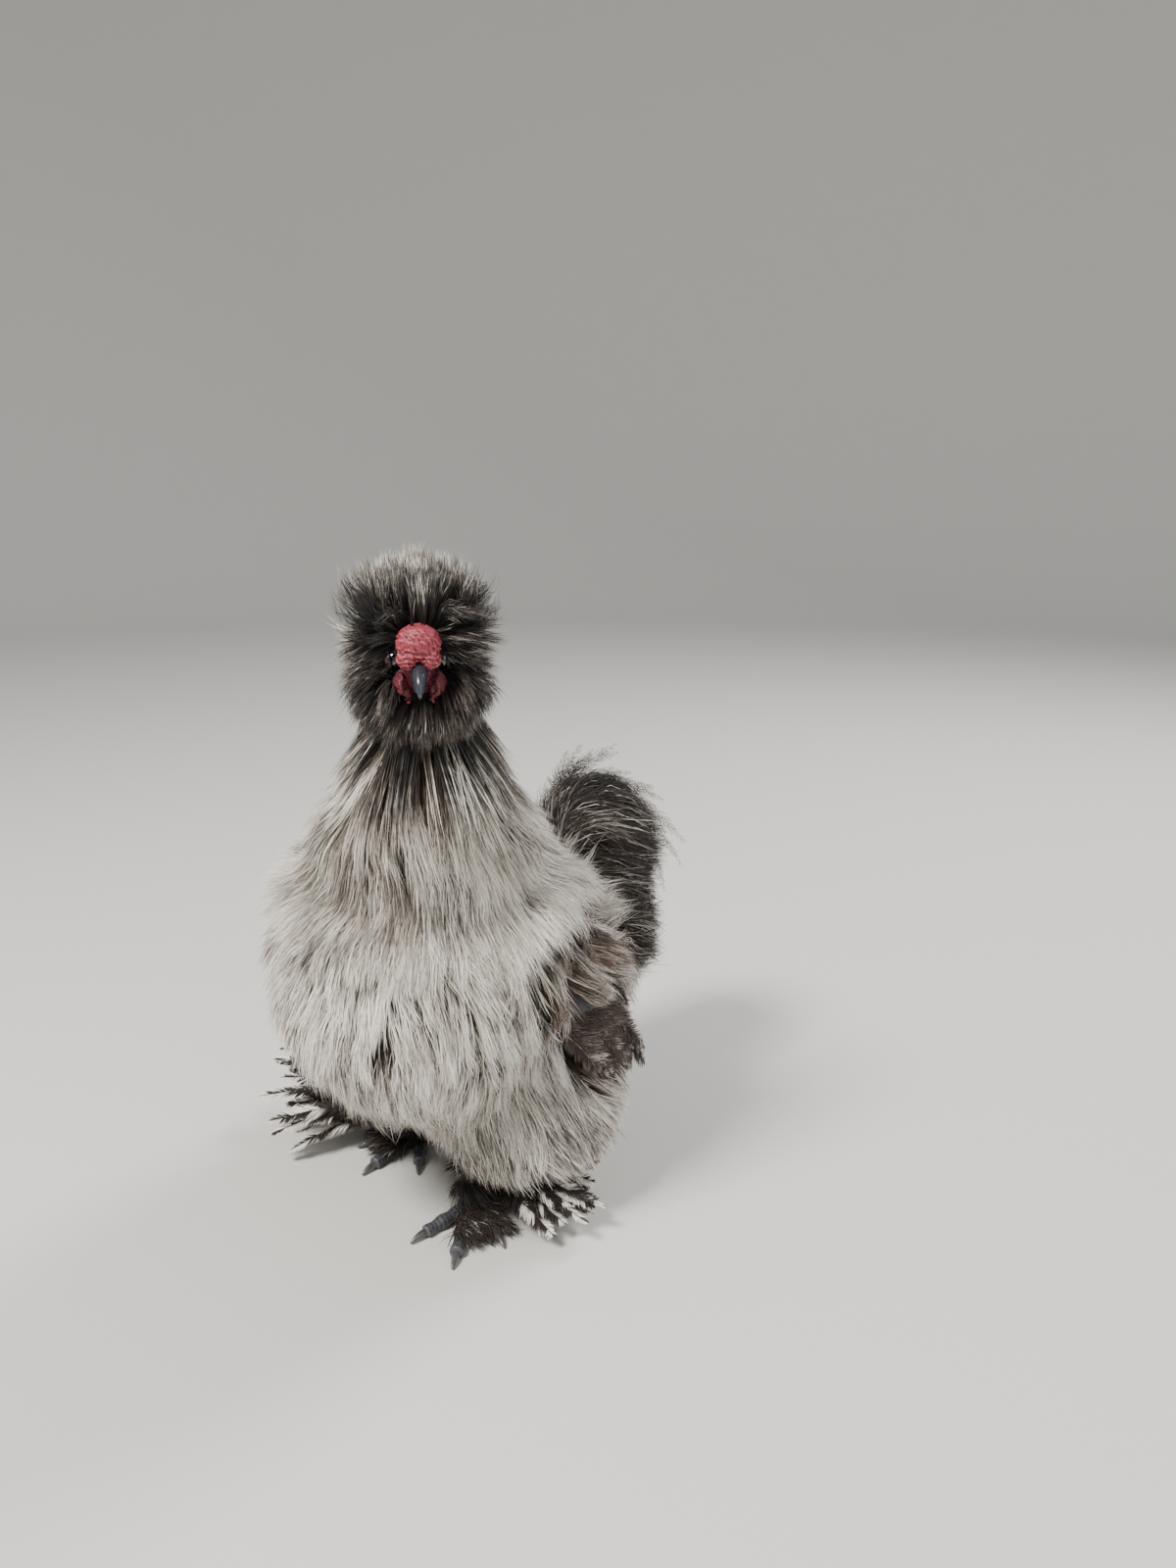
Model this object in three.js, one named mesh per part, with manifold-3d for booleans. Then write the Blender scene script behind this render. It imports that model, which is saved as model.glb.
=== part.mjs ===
// A standing bearded silkie cockerel, life size, as a three.js group of solid parts.
// Millimetres, +Z up. The bird faces -Y, its own left is +X, and its soles stand on Z = 0.
import * as THREE from "three";
import { mergeVertices } from "three/addons/utils/BufferGeometryUtils.js";
import Module from "manifold-3d";

const wasm = await Module();
wasm.setup();

// Driving dimensions
const GAP = 0.35; // between parts that touch
const EYE_MID = [39, -88, 331]; // midpoint between the eyes
const HEAD_YAW = 28; // the head turns to the bird's left, degrees
const HEAD_PITCH = 15; // the bill tips down, degrees
const SOLE_LEFT = [23, -16]; // middle of each foot on the floor
const SOLE_RIGHT = [-42, 46];

const UP = new THREE.Vector3(0, 0, 1);
const rad = THREE.MathUtils.degToRad;
const vec = (a) => new THREE.Vector3(...a);

// A repeatable random number from 0 to 1
function randomFrom(seed) {
  let state = seed;
  return () => {
    state = (state + 0x6d2b79f5) | 0;
    let t = Math.imul(state ^ (state >>> 15), 1 | state);
    t = (t + Math.imul(t ^ (t >>> 7), 61 | t)) ^ t;
    return ((t ^ (t >>> 14)) >>> 0) / 4294967296;
  };
}

// Closed surfaces

function surface(points, faces) {
  const geometry = new THREE.BufferGeometry().setFromPoints(points);
  geometry.setIndex(faces);
  return geometry;
}

// Rings of equal size, joined in order and closed by a point at each end. Each ring runs
// counter-clockwise as seen from the start, so that the faces turn out.
function loft(rings, startPoint, endPoint) {
  const sides = rings[0].length;
  const points = [startPoint, ...rings.flat(), endPoint];
  const last = points.length - 1;
  const at = (ring, side) => 1 + ring * sides + (side % sides);
  const faces = [];
  for (let j = 0; j < sides; j++) {
    faces.push(0, at(0, j), at(0, j + 1));
    faces.push(last, at(rings.length - 1, j + 1), at(rings.length - 1, j));
    for (let i = 0; i + 1 < rings.length; i++) {
      const [a, b, c, d] = [at(i, j), at(i, j + 1), at(i + 1, j + 1), at(i + 1, j)];
      if (j % 2) faces.push(a, d, c, a, c, b);
      else faces.push(a, d, b, d, c, b);
    }
  }
  return surface(points, faces);
}

function solidOf(geometry) {
  const bare = geometry.clone();
  bare.deleteAttribute("normal");
  bare.deleteAttribute("uv");
  const merged = mergeVertices(bare, 1e-4);
  const solid = new wasm.Manifold(
    new wasm.Mesh({
      numProp: 3,
      vertProperties: new Float32Array(merged.attributes.position.array),
      triVerts: new Uint32Array(merged.index.array),
    }),
  );
  if (solid.volume() < 0) throw new Error("a surface is inside out");
  return solid;
}

function geometryOf(solid) {
  const { vertProperties, numProp, numVert, triVerts } = solid.getMesh();
  const positions = new Float32Array(numVert * 3);
  for (let i = 0; i < numVert; i++) {
    positions.set(vertProperties.subarray(i * numProp, i * numProp + 3), i * 3);
  }
  const geometry = new THREE.BufferGeometry();
  geometry.setAttribute("position", new THREE.BufferAttribute(positions, 3));
  geometry.setIndex(new THREE.BufferAttribute(triVerts, 1));
  return geometry;
}

const joined = (solids) => solids.reduce((all, one) => all.add(one));
const largest = (solid) =>
  solid.decompose().reduce((best, one) => (one.volume() > best.volume() ? one : best));

// Soft forms: blobs blended into one field, in mm outwards from the surface

// A blob is { at, radii, turn }, an ellipsoid turned about X, Y and Z in degrees.
function fieldOf(blobs, blend) {
  const ready = blobs.map(({ at, radii, turn = [0, 0, 0] }) => {
    const spin = new THREE.Quaternion().setFromEuler(new THREE.Euler(...turn.map(rad)));
    const place = new THREE.Matrix4().compose(vec(at), spin, new THREE.Vector3(1, 1, 1));
    return { inverse: place.invert(), radii };
  });
  const q = new THREE.Vector3();
  return (p) => {
    let sum = 0;
    for (const { inverse, radii } of ready) {
      q.copy(p).applyMatrix4(inverse);
      const [x, y, z] = [q.x / radii[0], q.y / radii[1], q.z / radii[2]];
      const near = Math.hypot(x, y, z);
      const slope = Math.hypot(x / radii[0], y / radii[1], z / radii[2]) + 1e-9;
      sum += Math.exp((-near * (near - 1)) / slope / blend);
    }
    return -blend * Math.log(sum);
  };
}

function slopeOf(field, p) {
  const step = 0.5;
  const probe = (x, y, z) => field(new THREE.Vector3(p.x + x, p.y + y, p.z + z));
  return new THREE.Vector3(
    probe(step, 0, 0) - probe(-step, 0, 0),
    probe(0, step, 0) - probe(0, -step, 0),
    probe(0, 0, step) - probe(0, 0, -step),
  ).divideScalar(2 * step);
}

// The outermost point on a ray from centre where the field reaches level
function surfacePoint(field, centre, direction, level) {
  const at = (t) => centre.clone().addScaledVector(direction, t);
  let outside = 180;
  while (outside > 0 && field(at(outside - 2)) > level) outside -= 2;
  let inside = outside - 2;
  for (let i = 0; i < 14; i++) {
    const middle = (inside + outside) / 2;
    if (field(at(middle)) > level) outside = middle;
    else inside = middle;
  }
  return at(inside);
}

// Directions round an axis: polar 0 is along the axis
function aroundAxis(axis) {
  const a = axis.clone().normalize();
  const helper = Math.abs(a.x) < 0.9 ? new THREE.Vector3(1, 0, 0) : UP;
  const u = helper.clone().cross(a).normalize();
  const w = a.clone().cross(u);
  return (polar, turn) =>
    a
      .clone()
      .multiplyScalar(Math.cos(polar))
      .addScaledVector(u, Math.sin(polar) * Math.cos(turn))
      .addScaledVector(w, Math.sin(polar) * Math.sin(turn));
}

// The closed surface of a field at a level, as seen from its centre
function shellGeometry({ field, centre, axis, rings, sides }, level) {
  const direction = aroundAxis(axis);
  const ringAt = (i) =>
    Array.from({ length: sides }, (_, j) =>
      surfacePoint(field, centre, direction((Math.PI * i) / (rings + 1), (2 * Math.PI * j) / sides), level),
    );
  return loft(
    Array.from({ length: rings }, (_, i) => ringAt(i + 1)),
    surfacePoint(field, centre, direction(0, 0), level),
    surfacePoint(field, centre, direction(Math.PI, 0), level),
  );
}

// Feathers and locks

// A blade bends between its stations, so its grown copy takes a little more
const BLADE_GROW = 1.6;

// A tapered blade along stations { at, normal, side }, with a lens-shaped section. The two faces
// share their edges and are split alike.
function bladeGeometry(stations, tip, width, thickness, profile, grow) {
  const back = stations[0].at.clone().sub(stations[1].at).setLength(2 * BLADE_GROW * grow);
  const rings = stations.map(({ at: middle, up, side }, i) => {
    const at = middle.clone();
    if (i === 0) at.add(back);
    const half = (width * profile[i]) / 2 + BLADE_GROW * grow;
    const high = (thickness * Math.min(1, 0.5 + profile[i] / 2)) / 2 + BLADE_GROW * grow;
    const droop = thickness * profile[i] * 0.4;
    const edge = (way) => at.clone().addScaledVector(side, way * half).addScaledVector(up, -droop);
    return [
      edge(-1),
      at.clone().addScaledVector(up, high),
      edge(1),
      at.clone().addScaledVector(up, -high),
    ];
  });
  const points = [...rings.flat(), tip];
  const last = points.length - 1;
  const faces = [0, 1, 3, 1, 2, 3];
  for (let i = 0; i + 1 < rings.length; i++) {
    const [l, t, r, b] = [4 * i, 4 * i + 1, 4 * i + 2, 4 * i + 3];
    faces.push(l, l + 4, t + 4, l, t + 4, t, r, t + 4, r + 4, r, t, t + 4);
    faces.push(l, b + 4, l + 4, l, b, b + 4, r, r + 4, b + 4, r, b + 4, b);
  }
  const end = 4 * (rings.length - 1);
  faces.push(last, end + 1, end, last, end + 2, end + 1, last, end + 3, end + 2, last, end, end + 3);
  return surface(points, faces);
}

const LOCK_PROFILE = [0.7, 1, 0.66];
const LOCK_STATIONS = [0, 0.42, 0.8];

// A lock rooted in a form's core: it runs along the lie, over the surface, and rises to the tips' level
function lockSolid(form, root, lie, { run, width, thick, rise = form.depth, sink = 3 }, avoid, grow) {
  const level = (s) => -sink + (rise + sink) * s ** 0.8;
  const settle = (p, s) => {
    for (let i = 0; i < 3; i++) {
      const slope = slopeOf(form.field, p);
      p.addScaledVector(slope, (level(s) - form.field(p)) / slope.lengthSq());
    }
    return p;
  };
  const side = slopeOf(form.field, root).cross(lie).normalize();
  const steps = 8;
  const path = [];
  let p = root.clone();
  for (let i = 0; i <= steps; i++) {
    p = settle(p.clone(), i / steps);
    path.push(p.clone());
    const along = side.clone().cross(slopeOf(form.field, p)).normalize();
    p.addScaledVector(along, run / steps);
  }
  let reach = steps;
  for (let i = 0; i <= steps; i++) {
    if (avoid.some(({ form: other, level: edge }) => other.field(path[i]) < edge)) {
      reach = i - 1;
      break;
    }
  }
  if (reach < steps * 0.45) return null;
  const share = reach / steps;
  const stationAt = (s) => {
    const t = Math.min(s * share * steps, steps - 1e-6);
    const [a, b] = [path[Math.floor(t)], path[Math.floor(t) + 1]];
    const heading = b.clone().sub(a).normalize();
    return { at: a.clone().lerp(b, t - Math.floor(t)), side, up: heading.cross(side).normalize() };
  };
  const stations = LOCK_STATIONS.map(stationAt);
  const end = stationAt(1);
  const tip = end.at.clone();
  if (grow) tip.add(tip.clone().sub(stations.at(-1).at).setLength(4 * grow));
  return solidOf(bladeGeometry(stations, tip, width * Math.sqrt(share), thick, LOCK_PROFILE, grow));
}

// Tiers of locks round a form, from its axis to the far pole
function locksOf(form, locks, avoid, grow) {
  const { seed, lie, tiers, from, to, pitch, run, width, thick, rise, only = () => true } = locks;
  const random = randomFrom(seed);
  const direction = aroundAxis(form.axis);
  const solids = [];
  for (let i = 0; i < tiers; i++) {
    const polar = from + ((to - from) * i) / Math.max(1, tiers - 1);
    const girth = surfacePoint(form.field, form.centre, direction(polar, 0), 0).distanceTo(form.centre);
    const count = Math.max(3, Math.round((2 * Math.PI * girth * Math.sin(polar)) / pitch));
    for (let j = 0; j < count; j++) {
      const turn = (2 * Math.PI * (j + (i % 2) / 2 + 0.3 * (random() - 0.5))) / count;
      const ray = direction(polar + 0.05 * (random() - 0.5), turn);
      const [longer, wider, sway] = [0.88 + 0.24 * random(), 0.9 + 0.2 * random(), random() - 0.5];
      const root = surfacePoint(form.field, form.centre, ray, 0);
      if (!only(root) || avoid.some(({ form: other, level }) => other.field(root) < level)) continue;
      const normal = slopeOf(form.field, root).normalize();
      const steady = typeof lie === "function" ? lie(root) : lie;
      const turned = steady.clone().applyAxisAngle(normal, 0.35 * sway);
      const size = { run: run * longer, width: width * wider, thick, rise };
      const lock = lockSolid(form, root, turned, size, avoid, grow);
      if (lock) solids.push(lock);
    }
  }
  return solids;
}

const VANE_PROFILE = [0.35, 1, 0.85];
const VANE_STATIONS = [0, 0.5, 0.88];

// A stiff feather along a bent line, flat across its normal
function vaneSolid({ from, via, to, normal, width, thick }, grow) {
  const curve = new THREE.QuadraticBezierCurve3(from, via, to);
  const stations = VANE_STATIONS.map((s) => {
    const heading = curve.getTangent(s);
    const side = normal.clone().cross(heading).normalize();
    return { at: curve.getPoint(s), side, up: heading.cross(side).normalize() };
  });
  const tip = to.clone();
  if (grow) tip.addScaledVector(curve.getTangent(1), 4 * grow);
  return solidOf(bladeGeometry(stations, tip, width, thick, VANE_PROFILE, grow));
}

// A coat form holds its field, its centre, and how far its tips stand off its core
function coatForm({ blobs, blend = 6, centre, axis, depth, rings, sides }) {
  return { field: fieldOf(blobs, blend), centre: vec(centre), axis: vec(axis), depth, rings, sides };
}
const shellSolid = (form, level) => solidOf(shellGeometry(form, level));

// Head frame: origin midway between the eyes, bill towards -Y
const headPlace = new THREE.Matrix4().compose(
  vec(EYE_MID),
  new THREE.Quaternion().setFromEuler(new THREE.Euler(rad(HEAD_PITCH), 0, rad(HEAD_YAW), "ZXY")),
  new THREE.Vector3(1, 1, 1),
);
const headBack = headPlace.clone().invert();
const inHead = (geometry) => geometry.applyMatrix4(headPlace);
const headPoint = (p) => vec(p).applyMatrix4(headPlace);
const headWay = (a) => vec(a).transformDirection(headPlace);

// A coat form whose sizes are given in the head frame
function headForm({ blobs, blend = 4, centre, axis, depth, rings, sides }) {
  const inner = fieldOf(blobs, blend);
  const field = (p) => inner(p.clone().applyMatrix4(headBack));
  return { field, centre: headPoint(centre), axis: headWay(axis), depth, rings, sides };
}

// An ellipsoid mesh
function egg(at, radii, across = 12, down = 8, grow = 0) {
  return new THREE.SphereGeometry(1, across, down)
    .rotateX(Math.PI / 2)
    .scale(radii[0] + grow, radii[1] + grow, radii[2] + grow)
    .translate(...at);
}

// Body forms

const torso = coatForm({
  blobs: [
    { at: [0, -40, 148], radii: [63, 52, 58] },
    { at: [0, 18, 116], radii: [70, 72, 54] },
    { at: [6, 80, 128], radii: [46, 46, 44] },
    { at: [2, -8, 182], radii: [68, 58, 38] },
    { at: [36, 28, 84], radii: [48, 56, 42] },
  ],
  centre: [2, 18, 130],
  axis: [0.05, -0.55, 0.83],
  depth: 14,
  rings: 9,
  sides: 18,
});
const neck = coatForm({
  blobs: [
    { at: [33, -72, 300], radii: [20, 20, 20] },
    { at: [27, -64, 268], radii: [29, 28, 32] },
    { at: [17, -46, 238], radii: [40, 37, 28] },
    { at: [8, -27, 224], radii: [52, 42, 19] },
  ],
  centre: [16, -48, 240],
  axis: [0.25, -0.35, 0.9],
  depth: 13,
  rings: 7,
  sides: 14,
});
const tail = coatForm({
  blobs: [
    { at: [26, 118, 150], radii: [30, 30, 36] },
    { at: [40, 138, 188], radii: [30, 28, 36] },
  ],
  centre: [28, 126, 170],
  axis: [-0.2, -0.8, -0.5],
  depth: 20,
  rings: 7,
  sides: 12,
});
function thighForm([x, y, z], radii) {
  return coatForm({
    blobs: [{ at: [x, y, z], radii }],
    centre: [x, y, z],
    axis: [0, 0, 1],
    depth: 14,
    rings: 6,
    sides: 12,
  });
}
const thighs = {
  left: thighForm([46, 16, 58], [42, 46, 28]),
  right: thighForm([-44, 38, 64], [34, 44, 28]),
};
function wingForm(side) {
  return coatForm({
    blobs: [
      { at: [side * 72, -10, 166], radii: [11, 34, 32] },
      { at: [side * 78, 34, 128], radii: [11, 46, 30] },
    ],
    centre: [side * 75, 14, 146],
    axis: [side, 0, 0],
    depth: 8,
    rings: 7,
    sides: 14,
  });
}
const wings = { left: wingForm(1), right: wingForm(-1) };

const skull = headForm({
  blobs: [
    { at: [0, 7, 3], radii: [13.5, 18, 13] },
    { at: [0, -8, -2], radii: [9.5, 12, 9.5] },
    { at: [0, 2, -9], radii: [9, 15, 8] },
  ],
  centre: [0, 3, -1],
  axis: [0, -1, 0],
  depth: 0,
  rings: 8,
  sides: 12,
});
const crest = headForm({
  blobs: [{ at: [0, 13, 17], radii: [20, 19, 10] }],
  centre: [0, 13, 15],
  axis: [0, 0, 1],
  depth: 16,
  rings: 6,
  sides: 14,
});
const beard = headForm({
  blobs: [
    { at: [15, 3, -14], radii: [11, 13, 9] },
    { at: [-15, 3, -14], radii: [11, 13, 9] },
    { at: [0, -2, -20], radii: [13, 9, 9] },
  ],
  centre: [0, 2, -16],
  axis: [0, 0, 1],
  depth: 11,
  rings: 6,
  sides: 14,
});

// Comb: a broad cushion over the bill with two lobes in front, crossed by folds
const comb = headForm({
  blobs: [
    { at: [0, -12, 14], radii: [11, 9.5, 9.5] },
    { at: [5.6, -16.5, 7.5], radii: [5, 5, 5.2] },
    { at: [-5.6, -16.5, 7.5], radii: [5, 5, 5.2] },
  ],
  blend: 1.2,
  centre: [0, -12.5, 12],
  axis: [0, 0, 1],
  depth: 0,
  rings: 11,
  sides: 14,
});
const plainCombField = comb.field;
comb.field = (p) => {
  const q = p.clone().applyMatrix4(headBack);
  const folds = Math.cos(1.9 * q.z + 0.9 * Math.cos(0.35 * q.x)) * Math.exp(-((q.z - 13) ** 2) / 60);
  return plainCombField(p) - 0.45 * folds - 0.3 * Math.cos(1.3 * q.x + q.y);
};

// Bill sections: distance forward, half width, top and bottom heights
const BILL_UPPER = [
  [12, 4.2, 6.0, -2.4],
  [18, 3.8, 5.6, -2.4],
  [24, 3.0, 4.0, -2.8],
  [28.5, 2.0, 1.2, -3.8],
];
const BILL_UPPER_TIP = [0, -32, -5.6];
const BILL_LOWER = [
  [12, 3.8, -3.0, -7.4],
  [19, 3.1, -3.1, -7.0],
  [24.5, 2.1, -3.7, -6.2],
];
const BILL_LOWER_TIP = [0, -27.6, -5.2];
const NOSTRIL = { at: [3.6, -18.5, 2.4], radii: [1.1, 1.9, 0.9] };

function billGeometry(sections, tip, grow, sides = 8) {
  const rings = sections.map(([forward, half, top, bottom]) =>
    Array.from({ length: sides }, (_, j) => {
      const turn = (2 * Math.PI * j) / sides;
      const high = (top - bottom) / 2 + grow;
      const across = -(half + grow) * Math.cos(turn);
      return new THREE.Vector3(across, -forward, (top + bottom) / 2 + high * Math.sin(turn));
    }),
  );
  const [forward, , top, bottom] = sections[0];
  const start = new THREE.Vector3(0, -forward + 0.5 + grow, (top + bottom) / 2);
  const end = new THREE.Vector3(tip[0], tip[1] - grow, tip[2] - grow);
  return inHead(loft(rings, start, end));
}

function upperBill(grow) {
  const bill = solidOf(billGeometry(BILL_UPPER, BILL_UPPER_TIP, grow));
  if (grow) return bill;
  const [x, y, z] = NOSTRIL.at;
  const pit = (side) => solidOf(inHead(egg([side * x, y, z], NOSTRIL.radii, 8, 6)));
  return bill.subtract(pit(1)).subtract(pit(-1));
}

const EYE = { side: 10.6, radius: 5.2 };
const LID = { side: 13.6, radius: 4.6, tube: 1.1 };

const eyeSolid = (side, grow) =>
  solidOf(inHead(egg([side * EYE.side, 0, 0], [EYE.radius, EYE.radius, EYE.radius], 10, 6, grow)));

// The head's skin, with a lid round each eye
function headSolid(grow) {
  const lid = (side) =>
    solidOf(
      inHead(
        new THREE.TorusGeometry(LID.radius, LID.tube + grow, 4, 10)
          .rotateY(Math.PI / 2)
          .translate(side * LID.side, 0, 0),
      ),
    );
  return joined([shellSolid(skull, grow), lid(1), lid(-1)]);
}

// Bare red face: a patch below the eye, its small bulbs, and a hanging wattle
function wattleSolid(side, grow) {
  const pieces = [
    egg([side * 8.8, -9.5, -6.5], [2.8, 6.4, 4.4], 8, 5, grow),
    egg([side * 6, -14, -10.8], [2.6, 3.8, 5.6], 7, 5, grow),
  ];
  const bulbs = [
    [11.2, -5.5, -5],
    [11.4, -9, -4.2],
    [10.8, -12.5, -5.6],
    [11, -8.5, -8.6],
    [9.2, -14.6, -7.2],
    [7.4, -16.6, -10],
  ];
  for (const [x, y, z] of bulbs) pieces.push(egg([side * x, y, z], [1.9, 2.1, 1.9], 6, 4, grow));
  return joined(pieces.map((piece) => solidOf(inHead(piece))));
}

// Legs

// A round section swept along points, with its underside cut flat at the floor
function limbSolid(points, radii, sides, grow, floor = false) {
  const curve = new THREE.CatmullRomCurve3(points);
  const count = radii.length;
  const rings = radii.map((radius, i) => {
    const s = i / (count - 1);
    const heading = curve.getTangent(s);
    const flat = Math.abs(heading.z) > 0.9 ? new THREE.Vector3(0, 1, 0) : UP;
    const side = heading.clone().cross(flat).normalize();
    const top = side.clone().cross(heading);
    const middle = curve.getPoint(s);
    return Array.from({ length: sides }, (_, j) => {
      const turn = (2 * Math.PI * (j + 0.5)) / sides;
      const p = middle
        .clone()
        .addScaledVector(side, (radius + grow) * Math.cos(turn))
        .addScaledVector(top, (radius + grow) * Math.sin(turn));
      if (floor) p.z = Math.max(p.z, grow ? -2 : 0);
      return p;
    });
  });
  const ends = [curve.getPoint(0), curve.getPoint(1)];
  ends[0].addScaledVector(curve.getTangent(0), -radii[0] * 0.4 - grow);
  ends[1].addScaledVector(curve.getTangent(1), radii[count - 1] * 0.5 + grow);
  return solidOf(loft(rings, ends[0], ends[1]));
}

// Toes in the foot's own frame, the middle toe along -Y: start, knuckle, end, and radii
const TOES = [
  { turn: 38, length: 31, radius: 4.2 },
  { turn: 2, length: 44, radius: 4.5 },
  { turn: -36, length: 34, radius: 4.2 },
  { turn: 158, length: 20, radius: 3.8 },
];
const SPUR_TOE = { turn: 128, length: 24, radius: 3.6, rise: 15 };
const CLAW = { length: 11, radius: 2.1 };

function footFrame(side) {
  const yaw = rad(side * 12);
  return (turn) => {
    const a = yaw + side * rad(turn);
    return new THREE.Vector3(Math.sin(a), -Math.cos(a), 0);
  };
}

function toePoints(sole, way, { length, radius, rise = 0 }) {
  const height = radius * 0.8;
  const base = new THREE.Vector3(sole[0], sole[1], height + 1 + rise * 0.3);
  return [
    base,
    base.clone().addScaledVector(way, length * 0.5).setZ(height + 0.8 + rise * 0.55),
    base.clone().addScaledVector(way, length).setZ(height + rise),
  ];
}

function feetOf(name, sole, side) {
  const wayOf = footFrame(side);
  const all = [...TOES, SPUR_TOE];
  const bare = (grow) =>
    joined([
      limbSolid(
        [vec([sole[0], sole[1] + 4, 7]), vec([sole[0], sole[1], 6]), vec([sole[0], sole[1] - 6, 5])],
        [7, 8, 6.5],
        8,
        grow,
        true,
      ),
      ...all.map((toe) =>
        limbSolid(
          toePoints(sole, wayOf(toe.turn), toe),
          [toe.radius, toe.radius * 0.86, toe.radius * 0.98, toe.radius * 0.72],
          6,
          grow,
          !toe.rise,
        ),
      ),
    ]);
  const claws = all.map((toe, i) => {
    const way = wayOf(toe.turn);
    const [, , end] = toePoints(sole, way, toe);
    const low = toe.rise ? end.z + 4 : 1.2;
    const points = [
      end.clone().addScaledVector(way, -1),
      end.clone().addScaledVector(way, CLAW.length * 0.5).setZ((end.z + low) / 2 + 0.9),
      end.clone().addScaledVector(way, CLAW.length).setZ(low),
    ];
    const radii = [CLAW.radius, CLAW.radius * 0.85, CLAW.radius * 0.3];
    return { name: `claw_${name}_${i + 1}`, solid: (grow) => limbSolid(points, radii, 5, grow) };
  });
  return { bare, claws };
}

// Coats: locks in tiers on a core, each lock lying downstream over the next tier

const SIDES = { left: 1, right: -1 };

// A lie that leads round a form from its axis to its far pole, drawn by a steady pull
function roundForm({ centre, axis }, pull) {
  const pole = axis.clone().normalize();
  return (root) => {
    const ray = root.clone().sub(centre).normalize();
    const polar = ray.angleTo(pole);
    const out = ray.addScaledVector(pole, -Math.cos(polar)).normalize();
    return out.multiplyScalar(Math.cos(polar)).addScaledVector(pole, -Math.sin(polar)).add(pull);
  };
}

const under = (form, share) => ({ form, level: form.depth * share });

// Wing locks are rooted above the quills
const WING_LOCKS = {
  lie: vec([0, 0.62, -0.78]),
  tiers: 2,
  from: 0.5,
  to: 1.35,
  pitch: 30,
  run: 34,
  width: 26,
  thick: 2.6,
  only: (root) => root.z > 132,
};

// Thigh locks are rooted on the outer side only, because the inner sides face each other
const THIGH_LOCKS = { tiers: 2, from: 1, to: 1.9, pitch: 38, run: 38, width: 32, thick: 3.2 };

// The breast falls straight down, and the flanks and back sweep towards the tail
function torsoLie(root) {
  const back = THREE.MathUtils.smoothstep(root.y, -60, 90);
  return vec([0.12, 0.12, -1]).lerp(vec([0, 0.85, -0.5]), back);
}

const COATS = {
  crest: {
    form: crest,
    locks: {
      seed: 11,
      lie: roundForm(crest, vec([0, 0, 0])),
      tiers: 4,
      from: 0.3,
      to: 1.9,
      pitch: 17,
      run: 11,
      width: 14,
      thick: 3,
    },
    avoid: [],
  },
  beard: {
    form: beard,
    locks: {
      seed: 12,
      lie: roundForm(beard, vec([0, 0, -0.3])),
      tiers: 3,
      from: 0.9,
      to: 2.3,
      pitch: 17,
      run: 12,
      width: 15,
      thick: 3,
      only: (root) => root.clone().applyMatrix4(headBack).y < 14,
    },
    avoid: [under(skull, 0)],
  },
  neck: {
    form: neck,
    locks: {
      seed: 13,
      lie: vec([0, 0.3, -1]),
      tiers: 4,
      from: 0.6,
      to: 2,
      pitch: 42,
      run: 60,
      width: 34,
      thick: 3.2,
    },
    avoid: [under(beard, 0.6)],
  },
  wing_left: {
    form: wings.left,
    locks: { ...WING_LOCKS, seed: 14 },
    avoid: [under(neck, 0.5), under(torso, -0.4)],
    vanes: wingVanes(1),
  },
  wing_right: {
    form: wings.right,
    locks: { ...WING_LOCKS, seed: 15 },
    avoid: [under(neck, 0.5), under(torso, -0.4)],
    vanes: wingVanes(-1),
  },
  tail: {
    form: tail,
    locks: {
      seed: 16,
      lie: roundForm(tail, vec([0.1, 0, -0.4])),
      tiers: 4,
      from: 0.7,
      to: 2.5,
      pitch: 38,
      run: 34,
      width: 24,
      thick: 3,
    },
    avoid: [under(torso, 0.4)],
    vanes: tailPlumes(),
  },
  torso: {
    form: torso,
    locks: {
      seed: 17,
      lie: torsoLie,
      tiers: 5,
      from: 0.7,
      to: 2.3,
      pitch: 46,
      run: 60,
      width: 36,
      thick: 3.6,
      only: (root) => root.z > 62,
    },
    avoid: [under(neck, 0.5), under(wings.left, 0.5), under(wings.right, 0.5), under(tail, 0.3)],
  },
  thigh_left: {
    form: thighs.left,
    locks: { ...THIGH_LOCKS, seed: 18, lie: vec([0.2, 0.3, -1]), only: (root) => root.x > 36 },
    avoid: [under(torso, 0.5), under(wings.left, 0.5)],
  },
  thigh_right: {
    form: thighs.right,
    locks: { ...THIGH_LOCKS, seed: 19, lie: vec([-0.2, 0.3, -1]), only: (root) => root.x < -36 },
    avoid: [under(torso, 0.5), under(wings.right, 0.5)],
  },
};

// Secondaries and primaries of one wing, laid in two overlapping tiers
function wingVanes(side) {
  const tier = (count, from, fromStep, to, toStep, width) =>
    Array.from({ length: count }, (_, i) => {
      const start = vec(from).addScaledVector(vec(fromStep), i);
      const end = vec(to).addScaledVector(vec(toStep), i);
      const via = start.clone().lerp(end, 0.4).add(vec([7, 0, 0]));
      for (const p of [start, via, end]) p.x *= side;
      return { from: start, via, to: end, normal: new THREE.Vector3(side, 0.1, 0.2), width, thick: 1.6 };
    });
  return [
    ...tier(5, [80, -10, 128], [-0.8, 11, -2], [95, 6, 92], [-2.2, 13, -4], 15),
    ...tier(4, [76, 30, 114], [-0.8, 8, -1], [89, 52, 54], [-2.6, 12, 10], 12),
  ];
}

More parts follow.
